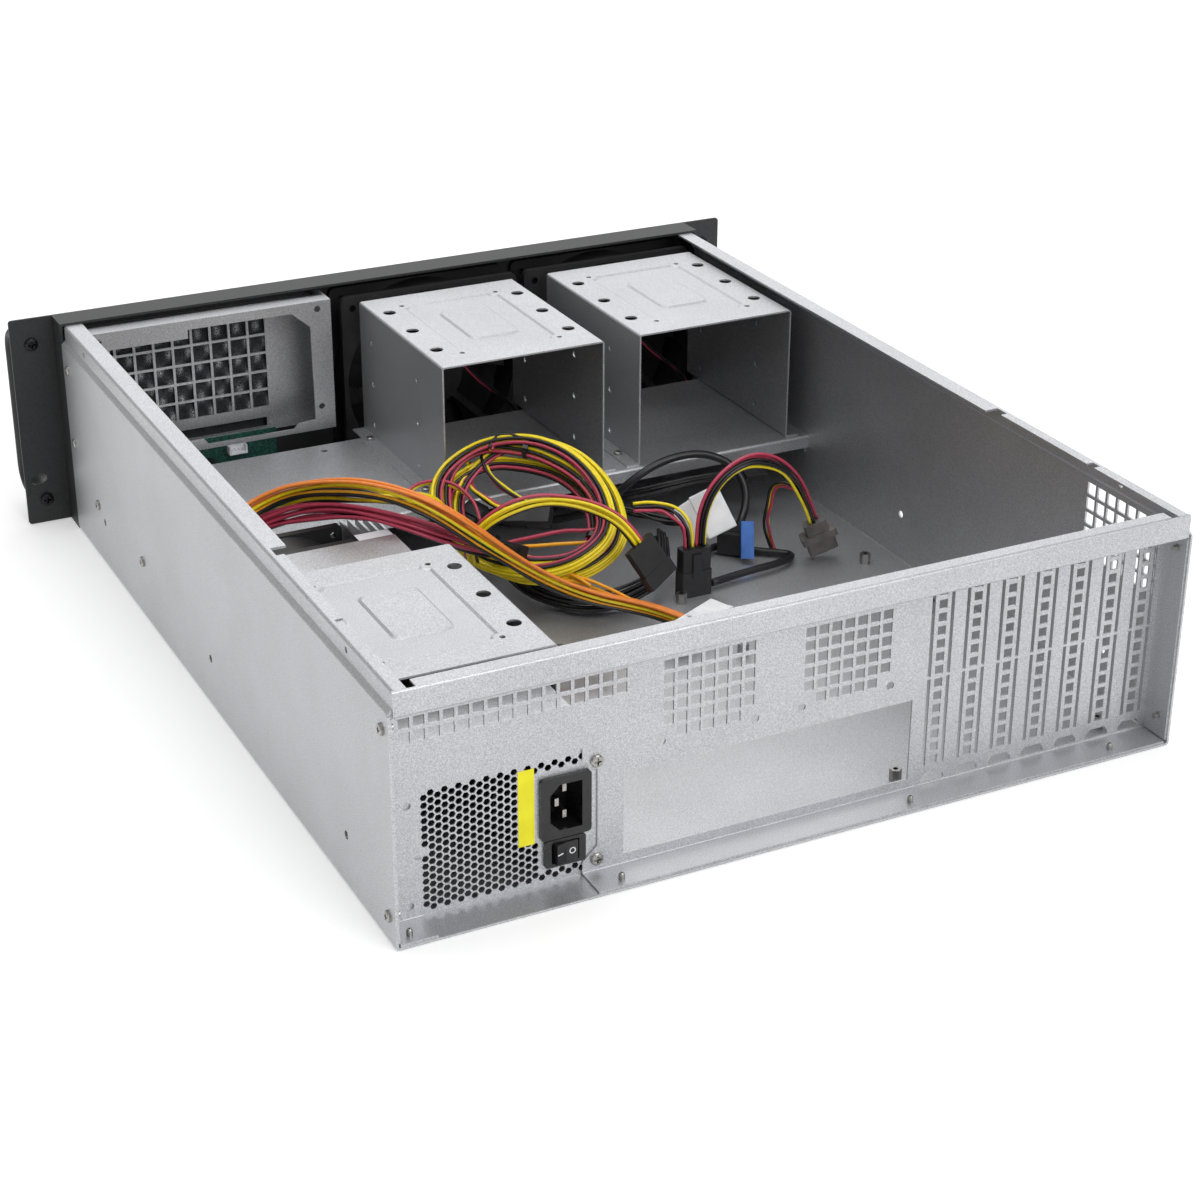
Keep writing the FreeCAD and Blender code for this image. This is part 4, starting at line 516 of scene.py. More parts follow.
# Plugs by the lead that ends in each: piece, CAD node, up, finish, slot, rings and a latch's shift and rings.
# The last run of most goes back in, as the hollow mouth.
PLUGS = {
    "supply_lead_1": (
        "board_plug", "atx_plug", UP, "white", "white_plastic",
        [((0, 12.5), 51.0, 9.2, 0.6), ((12.6, 15), 51.6, 9.8, 0.8), ((15, 9), 50.0, 8.2, 0.5)],
        ((0, 6.0, 3.0), [(0, 5, 0.9, 0.3), (11, 5, 0.9, 0.3, 0.6), (12, 5, 0.4, 0.15, 0.2)])),
    "supply_lead_2": (
        "drive_plug_body", "drive_plug", UP, "black", "black_plastic",
        [((0, 11), 19.0, 8.4, 1.0), ((11.1, 20), 21.0, 10.0, 1.2), ((20, 12), 19.0, 8.0, 1.0)]),
    "drive_lead": (
        "sata_plug_body", "sata_plug", (-0.4, 1, 0), "black", "black_plastic",
        [((0, 17), 20.5, 5.2, 0.8), ((17.1, 26), 22.0, 6.0, 0.8), ((26, 19), 20.0, 4.2, 0.5)]),
    "arch_lead": (
        "header_plug_body", "header_plug", (0.3, 1, 0), "grey", "black_plastic",
        [((0, 8), 14.0, 7.0, 1.2), ((8.1, 13), 22.0, 9.0, 1.5), ((13.1, 22), 18.0, 7.6, 2.0),
         ((22, 15), 16.6, 6.2, 1.6)]),
    "usb_lead": (
        "usb_plug_body", "usb_plug", UP, "black", "black_plastic",
        [(0, 10.0, 8.0, 2.0), (2, 17.0, 14.0, 1.6), (8, 18.0, 15.0, 1.6), ((8.1, 12), 17.0, 14.0, 1.2)]),
    "panel_lead": (
        "pin_plug_body", "pin_plugs", UP, "black", "black_plastic",
        [((0, 11), 15.4, 4.6, 0.5), ((11.1, 14), 16.0, 5.0, 0.5), ((14, 10), 14.6, 3.8, 0.4)]),
}
FAN_PLUG = [((0, 8.5), 7.6, 4.6, 0.4), ((8.6, 12), 8.0, 5.0, 0.5), ((12, 8), 7.0, 4.0, 0.4)]


# ------------------------------------------------------------------ sheets, screws and marks
def circle(x, z, radius, count=24):
    """Points (x, z) round a circle."""
    turn = np.arange(count) * TAU / count
    return np.stack([x + radius * np.cos(turn), z + radius * np.sin(turn)], axis=1)


def rectangle(x0, x1, z0, z1):
    """Corners (x, z) of a rectangle."""
    return np.array([(x0, z0), (x1, z0), (x1, z1), (x0, z1)], float)


def punched(outline, holes, y, depth):
    """Flat sheet across Y with holes right through: its face is a constrained triangulation of the outline
    and the holes, as (x, z) in millimetres, and walls join it to its copy a depth further."""
    loops = [np.asarray(outline)] + [np.asarray(hole) for hole in holes]
    starts = np.cumsum([0] + [len(loop) for loop in loops])
    edges = [(s + k, s + (k + 1) % len(loop)) for s, loop in zip(starts, loops) for k in range(len(loop))]
    corners = [Vector(point) for point in np.concatenate(loops)]
    points, _, triangles = geometry.delaunay_2d_cdt(corners, edges, [], 0, 1e-4)[:3]
    points = np.array([tuple(p) for p in points])
    triangles = np.array(triangles)
    middles = points[triangles].mean(1)
    kept = inside(middles, loops[0])
    for loop in loops[1:]:
        near = kept & (np.abs(middles - loop.mean(0)).max(1) < np.ptp(loop, axis=0).max())
        kept[near] &= ~inside(middles[near], loop)
    triangles = triangles[kept]
    a, b, c = (points[triangles[:, k]] for k in range(3))
    clockwise = np.cross(b - a, c - a) < 0
    triangles[clockwise] = triangles[clockwise][:, ::-1]
    count = len(points)
    sides = np.concatenate([triangles[:, [0, 1]], triangles[:, [1, 2]], triangles[:, [2, 0]]]).tolist()
    known = {(u, v) for u, v in sides}
    rim = np.array([(u, v) for u, v in sides if (v, u) not in known])
    walls = np.column_stack([rim[:, 1], rim[:, 0], rim[:, 0] + count, rim[:, 1] + count])
    ends = [np.column_stack([points[:, 0], np.full(count, place), points[:, 1]]) for place in (y, y + depth)]
    faces = triangles.tolist() + (triangles[:, ::-1] + count).tolist() + walls.tolist()
    return np.concatenate(ends) * MM, faces


def inside(points, loop):
    """Which points lie in a loop: each sends a ray along x, and an odd number of sides crosses it."""
    a, b = loop, np.roll(loop, -1, axis=0)
    x, z = points[:, :1], points[:, 1:]
    spans = (a[:, 1] > z) != (b[:, 1] > z)
    rise = np.where(b[:, 1] == a[:, 1], 1e-12, b[:, 1] - a[:, 1])
    cross = a[:, 0] + (z - a[:, 1]) / rise * (b[:, 0] - a[:, 0])
    return (spans & (x < cross)).sum(1) % 2 == 1


def slab(low, high):
    """Box between two corners in millimetres."""
    ends = low, high
    corners = np.array([(ends[a][0], ends[b][1], ends[c][2]) for a in (0, 1) for b in (0, 1) for c in (0, 1)])
    faces = [(0, 1, 3, 2), (4, 6, 7, 5), (0, 4, 5, 1), (2, 3, 7, 6), (0, 2, 6, 4), (1, 5, 7, 3)]
    return corners * MM, faces


def solids_of(node):
    """The separate solids of a CAD node, each as its points: neighbours share the least number they know."""
    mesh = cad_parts[node].data
    points = np.empty(len(mesh.vertices) * 3)
    mesh.vertices.foreach_get("co", points)
    spots, which = np.unique(np.round(points.reshape(-1, 3), 7), axis=0, return_inverse=True)
    group = np.arange(len(spots))
    pairs = which.ravel()[np.array([tuple(edge.vertices) for edge in mesh.edges])]
    while True:
        least = np.minimum(group[pairs[:, 0]], group[pairs[:, 1]])
        before = group.copy()
        np.minimum.at(group, pairs[:, 0], least)
        np.minimum.at(group, pairs[:, 1], least)
        if (group == before).all():
            return [spots[group == g] for g in np.unique(group)]


CROSS_ARM, CROSS_SLIM = 0.56, 0.15  # half length and half width of a recess's arms, in head radii
CROSS_DEPTH = 0.7           # of a recess, in head heights
DOME = 0.35                 # height of a head's dome, in head heights
SCREW_SIDES = 12            # of a head's round outline


def cross_screws(name, node, finish):
    """Each screw of a node again, with a domed head and a cross recess: rings of points round its axis."""
    parts = []
    turn = (np.arange(SCREW_SIDES) + 0.5) * TAU / SCREW_SIDES
    disc = np.stack([np.cos(turn), np.sin(turn)], axis=1)
    quarter = np.array([(CROSS_ARM, CROSS_SLIM), (CROSS_SLIM, CROSS_SLIM), (CROSS_SLIM, CROSS_ARM)])
    turns = ((1, 0), (0, 1), (-1, 0), (0, -1))
    plus = np.concatenate([quarter @ np.array([[c, s], [-s, c]]) for c, s in turns])
    for points in solids_of(node):
        low, high = points.min(0), points.max(0)
        extent = high - low
        axis = int(np.argmin([abs(extent[k - 1] - extent[k - 2]) for k in range(3)]))
        u, v = [k for k in range(3) if k != axis]
        middle = (low + high) / 2
        away = np.hypot(points[:, u] - middle[u], points[:, v] - middle[v])
        radius = away.max()
        widest = points[away > radius * 0.95, axis]
        top_is_high = abs(widest.max() - high[axis]) < 1e-5
        top, foot = (high[axis], low[axis]) if top_is_high else (low[axis], high[axis])
        seat = widest.min() if top_is_high else widest.max()
        head = top - seat
        shank = away[np.abs(points[:, axis] - foot) < 1e-5].max()
        rings = [
            (disc * shank, foot), (disc * shank, seat), (disc * radius, seat),
            (disc * radius, seat + head * (1 - DOME)), (disc * radius * 0.86, seat + head * (1 - DOME * 0.4)),
            (disc * radius * 0.62, top), (plus * radius, top),
            (plus * radius * 0.75, seat + head * (1 - CROSS_DEPTH))]
        rows = np.zeros((len(rings) + 2, SCREW_SIDES, 3))
        for row, (flat, level) in enumerate(rings, 1):
            rows[row][:, [u, v]] = middle[[u, v]] + flat
            rows[row, :, axis] = level
        rows[0], rows[-1] = rows[1].mean(0), rows[-2].mean(0)
        faces = quads(len(rows), SCREW_SIDES, True)
        parts.append((rows.reshape(-1, 3), faces[:, ::-1] if (axis == 1) == top_is_high else faces))
    return piece(name, *joined(parts), finish, "screw_steel", node=node)


def mark_on(name, node, body, loops, lift=0.05):
    """Flat printed mark laid on a node's rear face: the points of each pair of loops (outer, inner) of (x, z)
    in millimetres are dropped onto the face along Y, and lie a lift in millimetres off it."""
    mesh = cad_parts[node].data
    tree = BVHTree.FromPolygons(
        [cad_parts[node].matrix_world @ vertex.co for vertex in mesh.vertices],
        [tuple(face.vertices) for face in mesh.polygons])
    parts = []
    for outer, inner in loops:
        hits = [
            tree.ray_cast(Vector((x * MM, REAR + 0.05, z * MM)), Vector((0, -1, 0)))[0]
            for x, z in np.concatenate([outer, inner])]
        count = len(outer)
        ring = [(k, count + k, count + (k + 1) % count, (k + 1) % count) for k in range(count)]
        parts.append((np.array(hits) + (0, lift * MM, 0), ring))
    return piece(name, *joined(parts), "white", "white_plastic", body=body)


# ------------------------------------------------------------------ operators
CAMERA_PLACE = (0.543569, -0.859843, 0.617026)  # across, in front of the rear edge and up, in metres
CAMERA_ANGLES = (153.454, 25.769, 0.183)        # azimuth, elevation and roll in degrees
LENS = 73.4                 # mm


def pointed(place, right, back):
    """Matrix of something at a place that looks against back, with its right side along right."""
    matrix = np.eye(4)
    matrix[:3] = np.stack([right, np.cross(back, right), back, place], axis=1)
    return Matrix(matrix.tolist())


class CASE_OT_camera(bpy.types.Operator):
    """Places the camera behind the case's rear corner, a little above it"""

    bl_idname = "case.camera"
    bl_label = "Camera"

    def execute(self, context):
        azimuth, elevation, roll = np.radians(CAMERA_ANGLES)
        level = np.array([math.sin(azimuth), -math.cos(azimuth), 0])
        back = level * math.cos(elevation) + np.array(UP) * math.sin(elevation)
        right = unit(np.cross(UP, back))
        up = np.cross(back, right)
        across = math.cos(roll) * right + math.sin(roll) * up
        x, distance, z = CAMERA_PLACE
        camera = bpy.data.objects.new("camera", bpy.data.cameras.new("camera"))
        camera.matrix_world = pointed((x, REAR - distance, z), across, back)
        camera.data.lens = LENS
        camera.data.clip_start = 0.05
        context.scene.collection.objects.link(camera)
        context.scene.camera = camera
        return {"FINISHED"}


class CASE_OT_finishes(bpy.types.Operator):
    """Makes every finish and gives each part of the case its own"""

    bl_idname = "case.finishes"
    bl_label = "Finishes"

    def execute(self, context):
        make_finishes()
        for finish, nodes in NODE_FINISH.items():
            for node in nodes.split():
                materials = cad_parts[node].data.materials
                materials.clear()
                materials.append(FINISHES[finish])
        return {"FINISHED"}


class CASE_OT_supply_leads(bpy.types.Operator):
    """Lays the supply's three looms and their plugs"""

    bl_idname = "case.supply_leads"
    bl_label = "Supply Leads"

    def execute(self, context):
        for lead in ("supply_lead_1", "supply_lead_2"):
            lay_loom(lead, [plug(lead, *PLUGS[lead])])
        lay_loom("supply_lead_3", [])
        return {"FINISHED"}


# The coil's middle, as (x, distance in front of the rear edge, z), and the axis that its laps turn round.
COIL_CENTRE = (0.0, 310.0, 48.0)
COIL_AXIS = unit([0.354, 0.504, 0.788])
# Radius of each lap of the coil at twelve angles, and each lap's height over the ring's plane, in mm.
COIL_RADII = (
    (50, 62, 60, 43, 35, 34, 37, 42, 38, 33, 33, 40),
    (55, 65, 58, 49, 42, 39, 41, 47, 43, 40, 39, 44),
    (54, 59, 50, 37, 32, 31, 32, 36, 35, 32, 32, 36),
    (45, 51, 52, 53, 48, 45, 47, 53, 47, 40, 39, 41),
)
COIL_HEIGHTS = (3.0, 8.0, -5.0, -1.0)
COIL_TIES = (3, 31)         # which of the laps' points the ties hold
LOOSENESS = 0.2             # how far the coil and the loose runs open in their middle
COIL_LOOM = Loom("yyykykkr", 2.0, 6.0, 0.8, phase=0.3)
TIE_BAND = [((-1.2, 1.2), 8.2, 8.2, 3.4)]
TIE_HEAD = [((-1.6, 1.6), 3.2, 2.4, 0.5)]
TIE_REACH = 4.6             # of its head from the laps' middle
# Small plugs in the coil's middle: (x, distance, z), way, (width, height, length) in mm.
DARK_PLUGS = (
    ((31, 338, 42), (-0.8, -0.5, 0.2), (13, 7, 24)),
    ((3, 316, 46), (-0.7, 0.6, 0.1), (12, 8, 28)),
)


class CASE_OT_coil(bpy.types.Operator):
    """Winds the surplus of the supply's leads into a leaning, tied coil with two small plugs in it"""

    bl_idname = "case.coil"
    bl_label = "Coil"

    def execute(self, context):
        centre = spot(*COIL_CENTRE) / MM
        before, start = (spot(*place) / MM for place in LOOMS["supply_lead_3"].route[-2:])
        out = start - centre
        out = unit(out - COIL_AXIS * (out @ COIL_AXIS))
        around = np.cross(COIL_AXIS, out)
        around *= np.sign((start - before) @ around)
        lap = np.array(COIL_RADII, float).reshape(-1, 1)
        angle = np.arange(len(lap)) * TAU / 12
        height = np.repeat(COIL_HEIGHTS, 12) + 1.2 * np.sin(1.7 * angle)
        height = np.convolve(np.pad(height, 3, "edge"), np.ones(7) / 7, "valid")
        points = lap * (np.cos(angle)[:, None] * out + np.sin(angle)[:, None] * around)
        points = (centre + points + height[:, None] * COIL_AXIS) * MM
        line = line_of(points)
        made = lay_wires("coil_wires", line, COIL_LOOM, LOOSENESS, "lead_coil", centre * MM)
        for number, place in enumerate(COIL_TIES, 1):
            at = int(np.argmin(np.linalg.norm(line - points[place], axis=1)))
            way = line[at + 1] - line[at - 1]
            band = turned(line[at], way, COIL_AXIS, TIE_BAND)
            head = turned(line[at] + TIE_REACH * MM * COIL_AXIS, way, COIL_AXIS, TIE_HEAD)
            piece("cable_tie_%d" % number, *joined([band, head]), "gloss", "black_plastic")
        for number, (place, way, (width, height, depth)) in enumerate(DARK_PLUGS, 1):
            body = turned(spot(*place), way, COIL_AXIS, [
                ((-depth / 2, 0), width - 2, height - 2, 0.8), ((0.1, depth / 2), width, height, 1.0)])
            piece("coil_plug_%d" % number, *body, "black", "black_plastic")
        return {"FINISHED"}


# The upright four-pin plug, which stands on the floor with two leads in its top and a rib behind: start,
# way, up and rings, and the rib's rings and shift.
UPRIGHT = spot(-79.0, 265.0, 31.2), (0, 0, -1), (0, 1, 0)
UPRIGHT_RINGS = [((0, 14), 18.6, 8.0, 0.9), ((14.1, 30), 20.0, 9.0, 1.2)]
UPRIGHT_RIB = [((0, 15), 6, 0.8, 0.3)], (0, 4.6, 3.0)


class CASE_OT_drive_leads(bpy.types.Operator):
    """Lays the thin leads that leave the coil, with their plugs"""

    bl_idname = "case.drive_leads"
    bl_label = "Drive Leads"

    def execute(self, context):
        lay_loom("drive_lead", [plug("drive_lead", *PLUGS["drive_lead"])])
        shape = joined([turned(*UPRIGHT, UPRIGHT_RINGS), turned(*UPRIGHT, *UPRIGHT_RIB)])
        upright = piece("molex_plug_body", *shape, "black", "black_plastic", node="molex_plug")
        lay_loom("molex_lead", [upright])
        lay_loom("arch_lead", [plug("arch_lead", *PLUGS["arch_lead"])])
        return {"FINISHED"}


# A front fan's lead beyond its start: (across from the fan, distance, z).
FAN_ROUTE = (
    (-17, 503, 73), (-28, 501, 62), (-42, 501, 48), (-55, 500, 33), (-61, 496, 19), (-58, 486, 9),
    (-48, 470, 5), (-34, 454, 4), (-18, 440, 4),
)
# The blue tongue of the front sockets' plug: middle, way, up and its ring.
INSERT = spot(-129.9, 291.7, 14.5), (-0.19, -0.39, 0.90), (0.4, 0.8, 0.43), [((-11.2, 11.2), 8.0, 4, 0.6)]


class CASE_OT_front_leads(bpy.types.Operator):
    """Lays the black leads of the front board and the thin ones of the front fans"""

    bl_idname = "case.front_leads"
    bl_label = "Front Leads"

    def execute(self, context):
        board = plug("usb_lead", *PLUGS["usb_lead"])
        insert = piece("usb_plug_insert", *turned(*INSERT), "blue", "plug_blue")
        lay_loom("usb_lead", [board, insert])
        lay_loom("panel_lead", [plug("panel_lead", *PLUGS["panel_lead"])])
        for number in (1, 2):
            low, high = corners_of("fan_frame_%d" % number)
            x = (low[0] + high[0]) / 2 + 1.0
            lead = "fan_lead_%d" % number
            route = [(x - 12, REAR / MM - high[1] - 1.0, 76)] + [(x + dx, *rest) for dx, *rest in FAN_ROUTE]
            LOOMS[lead] = Loom("rkk", 1.3, 3, 1.0, 2.0, 0.3 * number, "limp", route)
            name = "fan_plug_%d" % number
            lay_loom(lead, [plug(lead, name, "fan_plugs", UP, "white", "white_plastic", FAN_PLUG)])
        return {"FINISHED"}


# Short runs of wire that stand clear of the coil and its looms.
LOOSE = {
    "inner_loop": Loom("ry", 1.9, 4, 0.8, route=[
        (62, 356, 55), (56, 358, 58), (49, 356, 60), (41, 351, 61), (35, 345, 59), (31, 337, 56),
        (29, 329, 52), (31, 320, 46)]),
    "outer_loop": Loom("kry", 1.9, 4, 0.7, route=[
        (11, 350, 76), (8, 353, 79), (3, 353, 82), (-2, 350, 82), (-6, 346, 81), (-15, 338, 80),
        (-23, 328, 77), (-28, 319, 74), (-31, 310, 69), (-32, 302, 65), (-33, 296, 61), (-32, 288, 56)]),
    "fallen_loop": Loom("kyr", 1.8, 4, 0.8, route=[
        (12, 361, 73), (13, 357, 69), (14, 350, 64), (13, 342, 60), (10, 335, 57), (7, 329, 55),
        (2, 321, 52)]),
    "yellow_loop": Loom("yrk", 1.8, 4, 0.8, route=[
        (20, 362, 65), (23, 355, 59), (24, 349, 54), (22, 343, 52), (19, 338, 50), (14, 330, 47),
        (5, 322, 46)]),
    "orange_run": Loom("aa", 2.0, 4, 0.7, route=[
        (33, 308, 32), (23, 296, 29), (13, 284, 26), (3, 274, 24), (-8, 265, 23), (-19, 251, 19),
        (-29, 243, 13)]),
    "orange_run_2": Loom("aa", 2.0, 4, 0.7, route=[
        (21, 302, 33), (12, 293, 31), (3, 281, 28), (-6, 270, 25), (-11, 261, 21)]),
    "yellow_run": Loom("a", 2.2, 2.2, 1.0, route=[
        (34, 309, 32), (20, 303, 35), (3, 295, 37), (-13, 285, 38), (-27, 280, 39)]),
    "red_run": Loom("r", 2.3, 2.3, 1.0, route=[
        (36, 311, 33), (18, 306, 37), (1, 300, 41), (-12, 294, 43), (-20, 289, 43), (-31, 286, 44)]),
    "low_bundle": Loom("kkkkkkkkkkk", 2.2, 9, 0.8, route=[
        (15, 336, 24), (17, 318, 18), (14, 302, 12), (6, 285, 9), (-6, 270, 8), (-23, 262, 9),
        (-39, 262, 12), (-57, 267, 15), (-68, 281, 20), (-75, 298, 26)]),
    "side_bundle": Loom("kkkykrkkkkk", 2.4, 10, 1.3, route=[
        (101, 262, 34), (86, 240, 28), (64, 217, 20), (36, 205, 16), (8, 200, 15)]),
    "side_loop": Loom("kyr", 1.8, 4, 0.8, route=[
        (-153, 274, 48), (-151, 281, 49), (-148, 287, 48), (-145.5, 290, 44), (-144, 290, 34),
        (-145, 294, 21), (-149, 296, 9), (-150, 293, 4)]),
    "floor_cable": Loom("k", 4.6, 4, 1.0, route=[
        (-82, 282, 5), (-116, 316, 5), (-135, 300, 5), (-150, 288, 5), (-156, 279, 5), (-143, 272, 5),
        (-113, 270, 5), (-91.5, 266, 5)]),
    "white_lead": Loom("kkk", 2.0, 4, 0.6, route=[
        (-42, 318, 36), (-52, 318, 38), (-61, 313, 37), (-70, 301, 36), (-78, 290, 35.5), (-84, 284.5, 36.5)]),
}

# The white lead's plug: start, way, up, which is towards the camera, and rings.
WHITE_PLUG = (
    spot(-80.9, 285.6, 34.5), (-0.887, 0.226, 0.403), (0.402447997, 0.80500659, 0.435),
    [(0, 22, 7, 0.8), (12, 25, 8.4, 0.8), ((12.1, 30), 27, 9.6, 1.0), ((30, 22), 24, 7, 0.8)])


class CASE_OT_loose_wires(bpy.types.Operator):
    """Adds the short runs of wire that stand clear of the coil, and the white plug"""

    bl_idname = "case.loose_wires"
    bl_label = "Loose Wires"

    def execute(self, context):
        for name, plan in LOOSE.items():
            line = line_of(np.array([spot(*place) for place in plan.route]))
            made = lay_wires(name, line, plan, LOOSENESS)
            if name == "white_lead":
                piece("white_plug", *turned(*WHITE_PLUG), "white", "white_plastic")
        return {"FINISHED"}


PSU_SHEET = 0.8
LABEL = 0.1                 # thickness of a label
# The cover's label: insets from the supply's right and left sides, and its reach in front of the rear edge.
COVER_LABEL = (9, 5, 130, 79)
FIN_LABEL = 9               # depth of the fins' label
SWITCH_BAR = (124.4, 127.6, 17.25, 17.95)       # x0, x1, z0, z1 of the rocker's bar
SWITCH_RING = ((119.3, 17.6), 1.7, 1.15)        # middle and radii of its ring
HEX_PITCH = (3.415, 3.99)   # of the supply's perforation: between its columns, and up each of them
HEX_ACROSS = 3.1
HEX_FIRST = (191.9, 65.0)   # leftmost column and highest row
HEX_COUNT = (24, 15)        # columns, and rows of every other one; those between have one more
HEX_WHOLE = (195.8, 34.3, 4.0)          # a place at the field's side that is left whole, and its radius
INLET_HOLES = ((122.2, 41.7, 22.0, 28.0), (122.6, 17.6, 18.4, 12.6))    # middle and size: socket, switch
SCREW_HOLES = ((106.2, 8.6, 1.6), (106.2, 61.3, 1.6))                   # middle and radius
SUPPLY_FAN = (158.2, 36.2, 33.0)        # middle and radius of the hole in the front


def is_perforated(x, z):
    """Whether the supply's sheet has a hexagon here: left of the inlet, and in a narrow band round it."""
    beside = x > 139 or z > 62.5 or z < 7.5 or (x > 136 and z < 24)
    return beside and math.hypot(x - HEX_WHOLE[0], z - HEX_WHOLE[1]) > HEX_WHOLE[2]


class CASE_OT_supply_shell(bpy.types.Operator):
    """Folds the supply's base with its finely perforated rear, and marks its cover and switch"""

    bl_idname = "case.supply_shell"
    bl_label = "Supply Shell"

    def execute(self, context):
        low, high = corners_of("psu_base")
        hexagon = circle(0, 0, HEX_ACROSS / math.sqrt(3), 6)
        holes = []
        for column in range(HEX_COUNT[0]):
            x = HEX_FIRST[0] - column * HEX_PITCH[0]
            lowered = column % 2 == 0
            for row in range(HEX_COUNT[1] + (not lowered)):
                z = HEX_FIRST[1] - (row + 0.5 * lowered) * HEX_PITCH[1]
                if is_perforated(x, z):
                    holes.append(hexagon + (x, z))
        for x, z, width, height in INLET_HOLES:
            holes.append(rectangle(x - width / 2, x + width / 2, z - height / 2, z + height / 2))
        holes += [circle(*hole, 12) for hole in SCREW_HOLES]
        outline = rectangle(low[0], high[0], low[2], high[2])
        back = punched(outline, holes, high[1] - PSU_SHEET, PSU_SHEET)
        front = punched(outline, [circle(*SUPPLY_FAN, 48)], low[1], PSU_SHEET)
        floor = slab((low[0], low[1] + PSU_SHEET, low[2]), (high[0], high[1] - PSU_SHEET, low[2] + PSU_SHEET))
        piece("supply_base", *joined([back, front, floor]), "steel", "galvanised", node="psu_base")

        top = corners_of("psu_cover")[1][2]
        right, left, front, rear = COVER_LABEL
        label = slab(
            (low[0] + right, REAR / MM - front, top), (high[0] - left, REAR / MM - rear, top + LABEL))
        piece("supply_cover_label", *label, "dark_label", "black_gloss")
        (right, _, _), (left, rear, top) = corners_of("psu_fins")
        label = slab((right, rear - FIN_LABEL, top), (left, rear, top + LABEL))
        piece("supply_fin_label", *label, "plain_label", "white_plastic")

        bar = rectangle(*SWITCH_BAR)
        middle = bar.mean(0)
        place, *radii = SWITCH_RING
        # The bar is a ring round a hole too small to see.
        mark_on("switch_marks", "rocker", "mains_rocker", [
            (bar, middle + (bar - middle) * 0.02), [circle(*place, radius, 20) for radius in radii]])
        return {"FINISHED"}


class CASE_OT_screws(bpy.types.Operator):
    """Gives every screw a domed head with a cross recess"""

    bl_idname = "case.screws"
    bl_label = "Screws"

    def execute(self, context):
        for place in ("wall", "ledge", "cage", "psu", "handle"):
            finish = "black_screws" if place == "handle" else "screws"
            cross_screws(place + "_cross_screws", place + "_screws", finish)
        return {"FINISHED"}


CREST_GRID = (111, 61)      # points across and up
CREST_FIRST = (89.2, 107.5)             # x and z of one crest
CREST_PITCH = (12.6, 10.4)  # between crests of a row, and between staggered rows
CREST_DEPTH = 2.6
CREST_RIM = 3.0             # over which the face comes down along the filter's edges
# Thin mats in the slots before the fans and under the filter: x0, x1, z0, z1.
FILTER_MATS = ((-68, 28, 33, 119), (-193.5, -97.5, 33, 119), (80, 196, 33, 62))
MAT_DEPTHS = (0.5, 1.1)     # behind the front panel's face


class CASE_OT_filter(bpy.types.Operator):
    """Moulds the dust filter's egg-crate face and lays thin mats in the front panel's slots"""

    bl_idname = "case.filter"
    bl_label = "Filter"

    def execute(self, context):
        low, high = corners_of("filter_foam")
        across, up = CREST_GRID
        x, z = np.meshgrid(np.linspace(low[0], high[0], across), np.linspace(low[2], high[2], up))
        # Staggered crests: height = (1 + cos(2 pi x / pitch) cos(pi z / pitch)) / 2, down to 0 at the rim.
        wave = np.cos((x - CREST_FIRST[0]) * TAU / CREST_PITCH[0])
        crest = (1 + wave * np.cos((z - CREST_FIRST[1]) * math.pi / CREST_PITCH[1])) / 2
        rim = np.minimum.reduce([x - low[0], high[0] - x, z - low[2], high[2] - z]) / CREST_RIM
        crest *= np.minimum(1, rim)
        face = np.stack([x, high[1] - CREST_DEPTH * (1 - crest), z], axis=-1).reshape(-1, 3)
        back = face.copy()
        back[:, 1] = low[1]
        grid = quads(up, across)
        count = len(face)
        edge = np.concatenate([
            np.arange(across), np.arange(2, up + 1) * across - 1,
            (up - 1) * across + np.arange(across - 2, -1, -1), np.arange(up - 2, 0, -1) * across])
        walls = np.column_stack([edge, np.roll(edge, -1), np.roll(edge, -1) + count, edge + count])
        # The finish reads the tint: a painted highlight, pale on the crests alone.
        tints = np.ones((2 * count, 4))
        tints[:, :3] = np.concatenate([crest.ravel() ** 5, np.zeros(count)])[:, None]
        piece(
            "egg_crate_filter", np.concatenate([face, back]) * MM,
            np.concatenate([grid[:, ::-1], grid + count, walls]), "foam", "foam", smooth=True, tints=tints,
            node="filter_foam")
        near, far = corners_of("front_panel")[0][1] + MAT_DEPTHS
        mats = [slab((x0, near, z0), (x1, far, z1)) for x0, x1, z0, z1 in FILTER_MATS]
        piece("slot_mats", *joined(mats), "foam", "foam")
        return {"FINISHED"}


FLOOR_HALF = 6.0            # metres
FLOOR_DROP = 0.0004         # metres under the case
FLOOR_TONE = "#E6E6E6"
# Metres from the middle where the floor starts to whiten to the camera and where it stops, and its glow there.
FLOOR_FADE = (1.5, 3.5, 0.9)
# Lamps: place, what it points at and size in metres; their powers are properties.
LAMPS = {
    "key": ((-0.6, 2.6, 1.9), (0, 0.1, 0.05), 2.2),
    "top": ((0.2, -0.2, 3.0), (0, 0, 0), 2.6),
    "back": ((-1.5, -3.0, 1.9), (0, 0, 0.05), 3.6),
    "fill": ((2.8, 0.6, 1.2), (0, 0, 0.05), 1.8),
}


def any_ray(tree, *kinds):
    """1 for a ray of any of these kinds, else 0."""
    seen = add(tree, "LightPath").outputs
    total = seen["Is %s Ray" % kinds[0]]
    for kind in kinds[1:]:
        total = add(tree, "Math", {0: total, 1: seen["Is %s Ray" % kind]}, operation="ADD", use_clamp=True)
    return total


